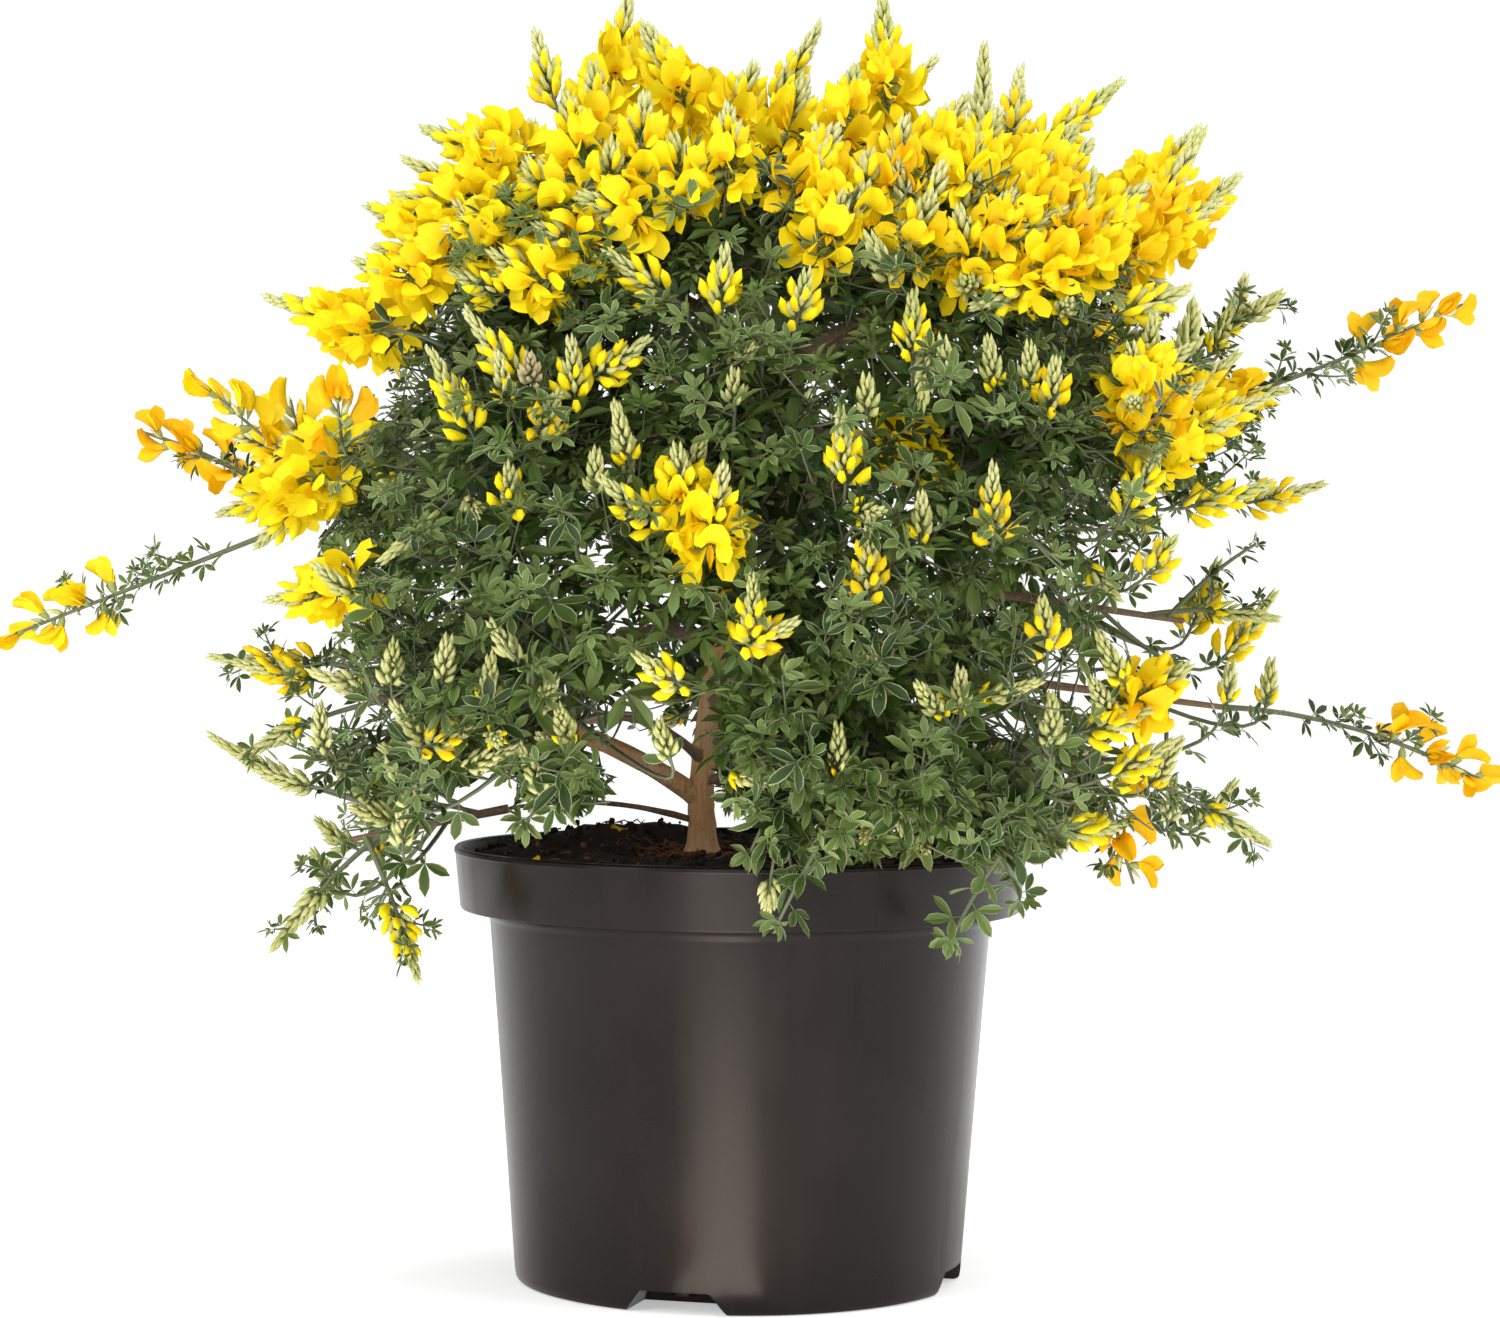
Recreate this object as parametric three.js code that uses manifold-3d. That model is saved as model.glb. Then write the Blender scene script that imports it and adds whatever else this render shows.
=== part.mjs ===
// A sweet broom in a round nursery pot: the pot, the soil in it, the trunk, the boughs that leave
// the trunk, and the masses of leaf and blossom at their ends. Sizes are millimetres and +Z is up.
// The origin is the centre of the pot's flat underside. The plant's front faces -Y, its right +X.

import * as THREE from 'three';
import { mergeVertices } from 'three/addons/utils/BufferGeometryUtils.js';
import Module from 'manifold-3d';

const wasm = await Module();
wasm.setup();

// Clearance between two pieces that meet
const GAP = 0.3;
const GOLDEN_ANGLE = Math.PI * (3 - Math.sqrt(5));

// Pot: a tapered wall under a wide rim band, with a bead where the two meet
const POT_HEIGHT = 170;
const POT_BASE_RADIUS = 87.6;
const POT_BODY_TOP_RADIUS = 98.4;
const POT_WALL = 2;
const POT_FOOT_CHAMFER = 2.5;
const BEAD_HEIGHT = 2.2;
const BEAD_DEPTH = 1.2;
const BAND_HEIGHT = 24.5;
const BAND_FOOT_RADIUS = 110;
const BAND_TOP_RADIUS = 112.5;
const BAND_LIP = 3;
const LIP_CHAMFER = 0.8;
const POT_SIDES = 32;

// Drainage channels under the pot, wider at the foot than at the roof
const CHANNEL_COUNT = 4;
const CHANNEL_BEARING = -105.7;
const CHANNEL_FOOT_WIDTH = 43;
const CHANNEL_ROOF_WIDTH = 27;
const CHANNEL_HEIGHT = 8.5;
const CHANNEL_INNER_RADIUS = 60;
const CHANNEL_OUTER_RADIUS = 96;
const DRAIN_HOLE_RADIUS = 5;
const DRAIN_HOLE_SIDES = 10;

// Soil: level with a point below the rim at the wall, and mounded round the trunk
const SOIL_EDGE_HEIGHT = 160;
const SOIL_MOUND_HEIGHT = 165;
const SOIL_SEAT_RADIUS = 30;

// Trunk: its axis as [x, y, z], its girth, and the flare of its foot
const TRUNK_AXIS = [
  [-15, 0, SOIL_MOUND_HEIGHT + GAP],
  [-15.5, 0, 195],
  [-10, -1, 245],
  [-2, 0, 310],
  [4, 1, 365],
  [0, 4, 402],
];
const TRUNK_FOOT_RADIUS = 6.4;
const TRUNK_TIP_RADIUS = 3.1;
const TRUNK_FLARE = 4.2;
const TRUNK_FLARE_HEIGHT = 16;
const TRUNK_SIDES = 10;
const TRUNK_RINGS = 14;
const TRUNK_RING_CROWDING = 1.5;
const TRUNK_FLARE_FALL = 2.2;
const TRUNK_MIDDLE = 0.3;

// Boughs and stems
const BOUGH_ROOT_RADIUS = 2.9;
const BOUGH_TIP_RADIUS = 1.8;
const BOUGH_SIDES = 5;
const BOUGH_RINGS = 3;
const BOUGH_RISE = 0.1;
const STEM_SHARE = 0.62;
const STEM_OVERSHOOT = 12;
const STEM_TIP_RADIUS = 1.1;
const STEM_SIDES = 3;
const STEM_LAST_TWIG = 0.92;
const STEM_TWIG_STEP = 0.11;

// Twigs
const TWIG_ROOT_RADIUS = 1.35;
const TWIG_SIDES = 3;
const LEAD_RINGS = 2;
const LEAD_RISE = 0.1;
const LEAD_LEAF_SCALE = 0.68;
const TWIG_COUNT = 6;
const TWIG_SEED = 307;
const LEAF_SEED = 1201;
const TWIG_SHORTEST = 26;
const TWIG_DIRECTIONS = 26;
const TWIG_INWARD_LIMIT = -0.25;
const TWIG_CELL_MARGIN = 9;
const TWIG_TIP_SHARE = 0.55;
const TWIG_SHORT_SHARE = 0.82;
const REACH_STEP = 4;
const REACH_LIMIT = 200;
const CLEAR_STEP = 0.05;
const CLEAR_FROM = 0.2;
const BLADE_CLEAR_FROM = 0.3;
const BLADE_CLEAR_STEP = 0.1;

// Leaves and flowers, as length, width and thickness
const LEAF_SIZE = [55, 28, 1.8];
const FLOWER_SIZE = [30, 22, 11];
const LEAF_WIDEST = 0.42;
const LEAF_SPACING = 28.5;
const LEAF_FIRST = 0.34;
const LEAF_ANGLE = 58;
const FLOWER_ANGLE = 48;
const SEAT_TRIES = 5;
const RACEME_SIZE = [52, 31, 31];
const RACEME_ROOT = 0.85;
const RACEME_EARLIEST = 0.4;
const RACEME_LEAF_END = 0.55;
const FLOWER_PLACE = 0.25;
const LEAF_LAST = 0.96;
const SPIRAL_UNEVENNESS = 0.2;
const SPIRAL_START = new THREE.Vector3(0.3, 0.2, 1);
const ROOT_SINK = 0.1;

// Clear distances that a twig or leaf keeps
const CELL_CLEAR = 0.3;
const LIMB_CLEAR = 1;
const POT_CLEAR = 2.5;

// The crown as a whole: a rounded body, wider than it is high, flatter below than above
const CROWN_CENTRE = [0, 0, 300];
const CROWN_HALF_WIDTH = 212;
const CROWN_HALF_DEPTH = 202;
const CROWN_RISE = 194;
const CROWN_DROP = 128;
const CROWN_ROUNDNESS = 2.5;
const CROWN_LEAF_BEYOND = 10;

// The bare gap in the skirt of leaves before the trunk's foot, as a tall round space
const FOOT_GAP_CENTRE = [-14, -60];
const FOOT_GAP_RADIUS = 34;
const FOOT_GAP_LENGTH = 200;
const FOOT_GAP_TOP = 212;

// Each mass of the crown: where its heart lies, the height at which its bough leaves the trunk,
// the share of its twigs that end in blossom, and the tips of the shoots that lead it, which end
// in a raceme or in leaf. The top middle mass has no bough, and grows from the tip of the trunk.
const MASSES = [
  { name: 'top_middle', heart: [-8, 9, 440], bloom: 1,
    racemes: [[-48, 0, 500], [-17, 12, 485], [22, 12, 489]], shoots: [] },
  { name: 'top_left', heart: [-78, -22, 420], leaves: 378, bloom: 1,
    racemes: [[-79, -24, 485], [-122, -30, 452]], shoots: [] },
  { name: 'top_right', heart: [48, -12, 428], leaves: 386, bloom: 1,
    racemes: [[54, -4, 501], [90, -14, 482]], shoots: [] },
  { name: 'top_front', heart: [-12, -78, 408], leaves: 370, bloom: 0.85,
    racemes: [[0, -96, 446]], shoots: [] },
  { name: 'top_back_left', heart: [-72, 78, 404], leaves: 362, bloom: 0.8,
    racemes: [[-70, 92, 474]], shoots: [] },
  { name: 'top_back_right', heart: [52, 84, 408], leaves: 354, bloom: 0.8,
    racemes: [[60, 96, 478]], shoots: [] },
  { name: 'arm_right', heart: [122, -18, 404], leaves: 346, bloom: 0.9,
    racemes: [[142, -14, 466], [188, -26, 438]], shoots: [] },
  { name: 'shoulder_left', heart: [-128, -32, 362], leaves: 338, bloom: 0.8,
    racemes: [[-146, -42, 420], [-184, -34, 382]], shoots: [] },
  { name: 'shoulder_right', heart: [82, -88, 388], leaves: 330, bloom: 0.6,
    racemes: [[100, -96, 436]], shoots: [] },
  { name: 'front_right', heart: [74, -112, 318], leaves: 322, bloom: 0.25,
    racemes: [[38, -164, 326]], shoots: [] },
  { name: 'front_left', heart: [-82, -108, 326], leaves: 314, bloom: 0.15,
    racemes: [], shoots: [] },
  { name: 'back_left', heart: [-118, 86, 318], leaves: 306, bloom: 0.35,
    racemes: [[-196, 110, 330]], shoots: [] },
  { name: 'back_right', heart: [118, 84, 326], leaves: 298, bloom: 0.35,
    racemes: [], shoots: [[190, 118, 352]] },
  { name: 'right', heart: [154, -22, 336], leaves: 290, bloom: 0.7,
    racemes: [[208, -22, 350], [284, -14, 372]], shoots: [[204, -16, 386]] },
  { name: 'left', heart: [-164, -18, 300], leaves: 282, bloom: 0.75,
    racemes: [[-230, -24, 326], [-291, -14, 263]], shoots: [] },
  { name: 'back_middle', heart: [0, 142, 318], leaves: 274, bloom: 0.3,
    racemes: [[8, 206, 340]], shoots: [] },
  { name: 'front_middle', heart: [-6, -128, 286], leaves: 266, bloom: 0.3,
    racemes: [[-10, -176, 294], [4, -168, 256]], shoots: [] },
  { name: 'side_right', heart: [158, -30, 262], leaves: 258, bloom: 0.3,
    racemes: [[226, -26, 308]], shoots: [[204, -34, 262]] },
  { name: 'low_back_left', heart: [-92, 98, 232], leaves: 250, bloom: 0.15,
    racemes: [], shoots: [[-146, 146, 196]] },
  { name: 'low_back_right', heart: [98, 96, 230], leaves: 242, bloom: 0.15,
    racemes: [], shoots: [[164, 136, 190]] },
  { name: 'low_back_middle', heart: [2, 128, 222], leaves: 234, bloom: 0.1,
    racemes: [], shoots: [[6, 186, 184]] },
  { name: 'low_front_right', heart: [46, -122, 214], leaves: 226, bloom: 0.1,
    racemes: [], shoots: [[10, -130, 160]] },
  { name: 'spray_far_right', heart: [186, 22, 226], leaves: 218, bloom: 0.3,
    racemes: [[296, 4, 190]], shoots: [] },
  { name: 'low_right', heart: [126, -56, 208], leaves: 210, bloom: 0.2,
    racemes: [[142, -70, 166]], shoots: [[200, -50, 177]] },
  { name: 'low_front_left', heart: [-72, -116, 222], leaves: 203, bloom: 0.1,
    racemes: [], shoots: [] },
  { name: 'low_left', heart: [-134, -40, 228], leaves: 188, bloom: 0.2,
    racemes: [[-188, -48, 246]], shoots: [[-190, -42, 207]] },
  { name: 'hang_front_right', heart: [92, -98, 178], leaves: 195, bloom: 0,
    racemes: [], shoots: [[76, -104, 146], [98, -88, 152]] },
  { name: 'hang_left', heart: [-138, -30, 176], leaves: 179, bloom: 0.4,
    racemes: [[-128, -62, 126]], shoots: [[-178, -42, 134]] },
];

// A mass with a larger share than this in bloom counts as blossom
const BLOSSOM_FROM = 0.5;

// Colours and finishes
const FINISHES = {
  pot: { color: 0x353130, roughness: 0.42 },
  soil: { color: 0x2a1e16, roughness: 1 },
  bark: { color: 0x86644c, roughness: 0.85 },
  foliage: { color: 0x55703f, roughness: 0.65 },
  blossom: { color: 0xf6c90e, roughness: 0.6 },
};

// Seeded random numbers between 0 and 1
function seeded(seed) {
  let state = seed >>> 0;
  return () => {
    state = (state + 0x6d2b79f5) >>> 0;
    let mixed = Math.imul(state ^ (state >>> 15), state | 1);
    mixed ^= mixed + Math.imul(mixed ^ (mixed >>> 7), mixed | 61);
    return ((mixed ^ (mixed >>> 14)) >>> 0) / 4294967296;
  };
}

function vector(point) {
  return new THREE.Vector3(...point);
}

// Solids from geometry, and geometry from solids
function solidOf(geometry) {
  const bare = geometry.index ? geometry.toNonIndexed() : geometry.clone();
  bare.deleteAttribute('normal');
  bare.deleteAttribute('uv');
  const merged = mergeVertices(bare, 1e-5);
  return new wasm.Manifold(new wasm.Mesh({
    numProp: 3,
    vertProperties: new Float32Array(merged.attributes.position.array),
    triVerts: new Uint32Array(merged.index.array),
  }));
}

// The one closed body of a solid: loose scraps are dropped, and a sealed hollow is filled
function mainBody(solid) {
  const mesh = solid.getMesh();
  const raw = new THREE.BufferGeometry();
  raw.setAttribute('position', new THREE.BufferAttribute(new Float32Array(mesh.vertProperties), 3));
  raw.setIndex(new THREE.BufferAttribute(new Uint32Array(mesh.triVerts), 1));
  const merged = mergeVertices(raw, 1e-4);
  const index = merged.index.array;
  const owner = Array.from({ length: merged.attributes.position.count }, (_, at) => at);
  const root = (at) => {
    while (owner[at] !== at) {
      owner[at] = owner[owner[at]];
      at = owner[at];
    }
    return at;
  };
  for (let at = 0; at < index.length; at += 3) {
    owner[root(index[at])] = root(index[at + 1]);
    owner[root(index[at + 1])] = root(index[at + 2]);
  }
  const volumes = new Map();
  const faces = new Map();
  const [a, b, c] = [new THREE.Vector3(), new THREE.Vector3(), new THREE.Vector3()];
  for (let at = 0; at < index.length; at += 3) {
    const corners = [index[at], index[at + 1], index[at + 2]];
    if (new Set(corners).size < 3) {
      continue;
    }
    const body = root(corners[0]);
    a.fromBufferAttribute(merged.attributes.position, corners[0]);
    b.fromBufferAttribute(merged.attributes.position, corners[1]);
    c.fromBufferAttribute(merged.attributes.position, corners[2]);
    volumes.set(body, (volumes.get(body) ?? 0) + a.dot(b.cross(c)));
    faces.set(body, (faces.get(body) ?? []).concat(corners));
  }
  const largest = [...volumes].sort((one, other) => other[1] - one[1])[0][0];
  merged.setIndex(faces.get(largest));
  return merged;
}

// A limb that tapers along a curve: a cylinder, or with a sharp end a cone, bent onto it
function limb(curve, radiusAt, sides, rings, sharp = false) {
  const shape = new THREE.CylinderGeometry(sharp ? 0 : 1, 1, 1, sides, rings);
  const points = shape.attributes.position;
  const whole = curve.getPoint(1).sub(curve.getPoint(0)).normalize();
  const helper = Math.abs(whole.z) < 0.8 ? new THREE.Vector3(0, 0, 1) : new THREE.Vector3(1, 0, 0);
  for (let at = 0; at < points.count; at += 1) {
    const share = THREE.MathUtils.clamp(points.getY(at) + 0.5, 0, 1);
    const across = new THREE.Vector2(points.getX(at), points.getZ(at));
    const width = across.length() > 1e-6 ? radiusAt(share) : 0;
    across.normalize();
    const along = curve.getTangent(share);
    const side = new THREE.Vector3().crossVectors(helper, along).normalize();
    const other = new THREE.Vector3().crossVectors(side, along);
    const place = curve.getPoint(share);
    place.addScaledVector(side, across.x * width).addScaledVector(other, across.y * width);
    points.setXYZ(at, place.x, place.y, place.z);
  }
  return shape;
}

// A leaf, flower or bud of eight faces: an octahedron with its root at the origin, along +X
function blade([length, width, thickness]) {
  const shape = new THREE.OctahedronGeometry(1, 0);
  const points = shape.attributes.position;
  for (let at = 0; at < points.count; at += 1) {
    const share = points.getX(at);
    const reach = share > 0.5 ? length : share < -0.5 ? 0 : length * LEAF_WIDEST;
    points.setXYZ(at, reach, points.getY(at) * width / 2, points.getZ(at) * thickness / 2);
  }
  return shape;
}

// Pot, soil and drainage channels
function ring(profile) {
  const points = profile.map(([radius, height]) => new THREE.Vector2(radius, height));
  return new THREE.LatheGeometry(points, POT_SIDES).rotateX(Math.PI / 2);
}

function channel(grow) {
  const foot = CHANNEL_FOOT_WIDTH / 2 + grow;
  const roof = CHANNEL_ROOF_WIDTH / 2 + grow;
  const shape = new THREE.Shape();
  shape.moveTo(-foot, -POT_WALL);
  shape.lineTo(foot, -POT_WALL);
  shape.lineTo(foot, 0);
  shape.lineTo(roof, CHANNEL_HEIGHT + grow);
  shape.lineTo(-roof, CHANNEL_HEIGHT + grow);
  shape.lineTo(-foot, 0);
  shape.closePath();
  const inner = CHANNEL_INNER_RADIUS - grow;
  const depth = CHANNEL_OUTER_RADIUS - inner;
  const block = new THREE.ExtrudeGeometry(shape, { depth, bevelEnabled: false });
  block.rotateX(Math.PI / 2).rotateZ(Math.PI / 2).translate(inner, 0, 0);
  return block;
}

function channels(grow) {
  const turned = [];
  for (let at = 0; at < CHANNEL_COUNT; at += 1) {
    const bearing = THREE.MathUtils.degToRad(CHANNEL_BEARING + at * 360 / CHANNEL_COUNT);
    turned.push(solidOf(channel(grow).rotateZ(bearing)));
  }
  return turned.reduce((all, one) => all.add(one));
}

function drainHoles() {
  const radius = (CHANNEL_INNER_RADIUS + POT_BASE_RADIUS) / 2;
  const length = 4 * POT_WALL;
  const holes = [];
  for (let at = 0; at < CHANNEL_COUNT; at += 1) {
    const bearing = THREE.MathUtils.degToRad(CHANNEL_BEARING + at * 360 / CHANNEL_COUNT);
    const [wide, sides] = [DRAIN_HOLE_RADIUS, DRAIN_HOLE_SIDES];
    const hole = new THREE.CylinderGeometry(wide, wide, length, sides);
    hole.rotateX(Math.PI / 2).translate(radius, 0, CHANNEL_HEIGHT + POT_WALL / 2).rotateZ(bearing);
    holes.push(solidOf(hole));
  }
  return holes.reduce((all, one) => all.add(one));
}

function potInside(grow) {
  const ledge = POT_HEIGHT - BAND_HEIGHT + POT_WALL + grow;
  return [
    [0, POT_WALL + grow],
    [POT_BASE_RADIUS - POT_WALL - grow, POT_WALL + grow],
    [POT_BODY_TOP_RADIUS - POT_WALL - grow, ledge],
    [BAND_FOOT_RADIUS - POT_WALL - grow, ledge],
  ];
}

function pot() {
  const bandFoot = POT_HEIGHT - BAND_HEIGHT;
  const outside = solidOf(ring([
    [0, 0],
    [POT_BASE_RADIUS - POT_FOOT_CHAMFER, 0],
    [POT_BASE_RADIUS, POT_FOOT_CHAMFER],
    [POT_BODY_TOP_RADIUS, bandFoot - BEAD_HEIGHT - BEAD_DEPTH],
    [POT_BODY_TOP_RADIUS + BEAD_DEPTH, bandFoot - BEAD_HEIGHT],
    [POT_BODY_TOP_RADIUS + BEAD_DEPTH, bandFoot],
    [BAND_FOOT_RADIUS, bandFoot],
    [BAND_TOP_RADIUS, POT_HEIGHT - LIP_CHAMFER],
    [BAND_TOP_RADIUS - LIP_CHAMFER, POT_HEIGHT],
    [0, POT_HEIGHT],
  ]));
  const inside = solidOf(ring([
    ...potInside(0),
    [BAND_TOP_RADIUS - BAND_LIP, POT_HEIGHT + 1],
    [0, POT_HEIGHT + 1],
  ]));
  const cavity = inside.subtract(channels(POT_WALL));
  return outside.subtract(channels(0)).subtract(cavity).subtract(drainHoles());
}

function soil() {
  const fill = solidOf(ring([
    ...potInside(GAP),
    [BAND_FOOT_RADIUS - POT_WALL - GAP, SOIL_EDGE_HEIGHT],
    [SOIL_SEAT_RADIUS, SOIL_MOUND_HEIGHT],
    [0, SOIL_MOUND_HEIGHT],
  ]));
  return fill.subtract(channels(POT_WALL + GAP));
}

// Trunk
const trunkCurve = new THREE.CatmullRomCurve3(TRUNK_AXIS.map(vector));

function trunkRadius(share) {
  const taper = THREE.MathUtils.lerp(TRUNK_FOOT_RADIUS, TRUNK_TIP_RADIUS, share);
  const height = share * (TRUNK_AXIS.at(-1)[2] - TRUNK_AXIS[0][2]);
  return taper + TRUNK_FLARE * Math.exp(-TRUNK_FLARE_FALL * height / TRUNK_FLARE_HEIGHT);
}

// The share of the trunk's curve that reaches a height
function trunkShareAt(height) {
  let [low, high] = [0, 1];
  for (let step = 0; step < 30; step += 1) {
    const middle = (low + high) / 2;
    if (trunkCurve.getPoint(middle).z < height) {
      low = middle;
    } else {
      high = middle;
    }
  }
  return low;
}

// The rings of the trunk crowd towards its flared foot, which is cut level
function trunk(grow) {
  const crowded = new THREE.Curve();
  const place = (share) => share ** TRUNK_RING_CROWDING;
  crowded.getPoint = (share) => trunkCurve.getPoint(place(share));
  crowded.getTangent = (share) => (
    share < 0.5 / TRUNK_RINGS ? new THREE.Vector3(0, 0, 1) : trunkCurve.getTangent(place(share))
  );
  return limb(crowded, (share) => trunkRadius(place(share)) + grow, TRUNK_SIDES, TRUNK_RINGS);
}

// Boughs: each leaves the trunk's axis, and its tip points at the heart of its mass
function arch(start, end, rise) {
  const middle = start.clone().lerp(end, 0.5);
  middle.z += rise * start.distanceTo(end);
  return new THREE.QuadraticBezierCurve3(start, middle, end);
}

const boughs = MASSES.map((mass) => {
  if (mass.leaves === undefined) {
    return null;
  }
  const heart = vector(mass.heart);
  const start = trunkCurve.getPoint(trunkShareAt(mass.leaves));
  const end = start.clone().lerp(heart, STEM_SHARE);
  const length = start.distanceTo(end);
  end.z += BOUGH_RISE * length;
  const bend = end.clone().addScaledVector(heart.clone().sub(end).normalize(), -length / 2);
  return new THREE.QuadraticBezierCurve3(start, bend, end);
});

function boughRadius(share) {
  return THREE.MathUtils.lerp(BOUGH_ROOT_RADIUS, BOUGH_TIP_RADIUS, share);
}

// The stem of a mass runs straight on, the clearance beyond its bough's tip or the trunk's
const stems = MASSES.map((mass, at) => {
  const carrier = boughs[at] ?? trunkCurve;
  const along = carrier.getTangent(1);
  const start = carrier.getPoint(1).addScaledVector(along, GAP);
  const length = start.distanceTo(vector(mass.heart)) + STEM_OVERSHOOT;
  return new THREE.LineCurve3(start, start.clone().addScaledVector(along, length));
});

// Every limb as short straight lengths, for the distances that twigs and leaves keep
function lengthsOf(curve, radiusAt, count) {
  const lengths = [];
  for (let at = 0; at < count; at += 1) {
    const shares = [at / count, (at + 1) / count];
    const [start, end] = shares.map((share) => curve.getPoint(share));
    lengths.push({ line: new THREE.Line3(start, end), radius: radiusAt(shares[0]) });
  }
  return lengths;
}

const limbLengths = [
  ...lengthsOf(trunkCurve, trunkRadius, 12),
  ...boughs.flatMap((bough) => (bough ? lengthsOf(bough, boughRadius, 6) : [])),
];

const nearest = new THREE.Vector3();

function clearOfLimbs(point, margin) {
  return limbLengths.every(({ line, radius }) => {
    line.closestPointToPoint(point, true, nearest);
    return nearest.distanceTo(point) > radius + margin;
  });
}

// Every mass keeps to the space nearer to its own heart than to any other
const hearts = MASSES.map((mass) => vector(mass.heart));

function cellRoom(point, own) {
  let room = Infinity;
  hearts.forEach((heart, at) => {
    if (at !== own) {
      const apart = heart.distanceTo(hearts[own]);
      const reach = (point.distanceToSquared(heart) - point.distanceToSquared(hearts[own])) / 2;
      room = Math.min(room, reach / apart);
    }
  });
  return room;
}

function insideCrown(point, beyond = 0) {
  const up = point.z - CROWN_CENTRE[2];
  const height = up > 0 ? CROWN_RISE : CROWN_DROP;
  const halves = [CROWN_HALF_WIDTH, CROWN_HALF_DEPTH, height].map((half) => half + beyond);
  const parts = [point.x / halves[0], point.y / halves[1], up / halves[2]];
  return parts.reduce((sum, part) => sum + Math.abs(part) ** CROWN_ROUNDNESS, 0) < 1;
}

function clearOfPot(point) {
  const radius = Math.hypot(point.x, point.y);
  if (point.z > POT_HEIGHT + POT_CLEAR || radius > BAND_TOP_RADIUS + POT_CLEAR) {
    return true;
  }
  const inner = BAND_FOOT_RADIUS - POT_WALL - POT_CLEAR;
  return radius < inner && point.z > SOIL_MOUND_HEIGHT + POT_CLEAR;
}

function clearOfFootGap(point) {
  const across = Math.abs(point.x - FOOT_GAP_CENTRE[0]);
  const deep = Math.abs(point.y - FOOT_GAP_CENTRE[1]);
  return point.z > FOOT_GAP_TOP || across > FOOT_GAP_RADIUS || deep > FOOT_GAP_LENGTH / 2;
}

function allowed(point, own, thickness) {
  return cellRoom(point, own) > CELL_CLEAR + thickness
    && clearOfPot(point)
    && clearOfFootGap(point)
    && clearOfLimbs(point, LIMB_CLEAR + thickness);
}

function allowedTwig(curve, own) {
  for (let share = CLEAR_FROM; share <= 1; share += CLEAR_STEP) {
    if (!allowed(curve.getPoint(share), own, TWIG_ROOT_RADIUS)) {
      return false;
    }
  }
  return true;
}

// How far a twig may run one way from the heart, within the cell and the crown
function reachAlong(heart, direction, own) {
  let reach = 0;
  const point = new THREE.Vector3();
  for (let step = REACH_STEP; step < REACH_LIMIT; step += REACH_STEP) {
    point.copy(heart).addScaledVector(direction, step);
    if (cellRoom(point, own) < TWIG_CELL_MARGIN || !insideCrown(point) || !clearOfPot(point)) {
      break;
    }
    reach = step;
  }
  return reach;
}

// A line from point to point, as the faces of a jointed twig run
class Chain extends THREE.Curve {
  constructor(points) {
    super();
    this.points = points;
  }

  getPoint(share, target = new THREE.Vector3()) {
    const place = THREE.MathUtils.clamp(share, 0, 1) * (this.points.length - 1);
    const at = Math.min(Math.floor(place), this.points.length - 2);
    return target.lerpVectors(this.points[at], this.points[at + 1], place - at);
  }
}

// Twigs leave the stem one after the other, from near its tip back towards its root
function twigRoot(stem, order) {
  return stem.getPoint(STEM_LAST_TWIG - STEM_TWIG_STEP * order);
}

// Twigs of a mass: first its leads, and then those that lie furthest from the ones there are
function twigsOf(own) {
  const mass = MASSES[own];
  const heart = hearts[own];
  const stem = stems[own];
  const random = seeded(TWIG_SEED + own);
  const outward = heart.clone().sub(trunkCurve.getPoint(TRUNK_MIDDLE)).normalize();
  const turn = random() * 2 * Math.PI;
  const tips = [...mass.racemes, ...mass.shoots].map(vector);
  const twigs = tips.map((tip, at) => {
    const bent = arch(twigRoot(stem, at), tip, LEAD_RISE);
    const curve = new Chain(bent.getPoints(LEAD_RINGS));
    return { curve, lead: true, blooms: at < mass.racemes.length };
  });
  const directions = [];
  for (let at = 0; at < TWIG_DIRECTIONS; at += 1) {
    const height = 1 - 2 * (at + 0.5) / TWIG_DIRECTIONS;
    const across = Math.sqrt(1 - height * height);
    const angle = turn + at * GOLDEN_ANGLE;
    const direction = new THREE.Vector3(across * Math.cos(angle), across * Math.sin(angle), height);
    const part = THREE.MathUtils.lerp(TWIG_SHORT_SHARE, 1, random());
    const reach = reachAlong(heart, direction, own) * part;
    if (direction.dot(outward) > TWIG_INWARD_LIMIT && reach > TWIG_SHORTEST) {
      directions.push({ direction, reach });
    }
  }
  const taken = tips.map((tip) => tip.clone().sub(heart).normalize());
  while (twigs.length < TWIG_COUNT && directions.length > 0) {
    const spread = ({ direction, reach }) => {
      const closest = Math.max(-1, ...taken.map((other) => other.dot(direction)));
      return (1 - closest) * Math.sqrt(reach);
    };
    directions.sort((one, other) => spread(other) - spread(one));
    const { direction, reach } = directions.shift();
    const tip = heart.clone().addScaledVector(direction, reach);
    const curve = new THREE.LineCurve3(twigRoot(stem, twigs.length), tip);
    if (allowedTwig(curve, own)) {
      taken.push(direction);
      twigs.push({ curve, lead: false, blooms: random() < mass.bloom });
    }
  }
  return twigs;
}

// A blade set on a twig, or nothing where it would leave its space or touch a limb
function seat(size, root, direction, facing, own, beyond) {
  const side = new THREE.Vector3().crossVectors(facing, direction).normalize();
  const up = new THREE.Vector3().crossVectors(direction, side);
  const start = root.clone().addScaledVector(direction, -ROOT_SINK);
  if (!insideCrown(start.clone().addScaledVector(direction, size[0]), beyond)) {
    return null;
  }
  for (let share = BLADE_CLEAR_FROM; share <= 1; share += BLADE_CLEAR_STEP) {
    const half = size[1] / 2 * Math.min(share / LEAF_WIDEST, (1 - share) / (1 - LEAF_WIDEST));
    for (const edge of [-half, half]) {
      const point = start.clone().addScaledVector(direction, size[0] * share);
      if (!allowed(point.addScaledVector(side, edge), own, size[2] / 2)) {
        return null;
      }
    }
  }
  const place = new THREE.Matrix4().makeBasis(direction, side, up).setPosition(start);
  return solidOf(blade(size).applyMatrix4(place));
}

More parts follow.
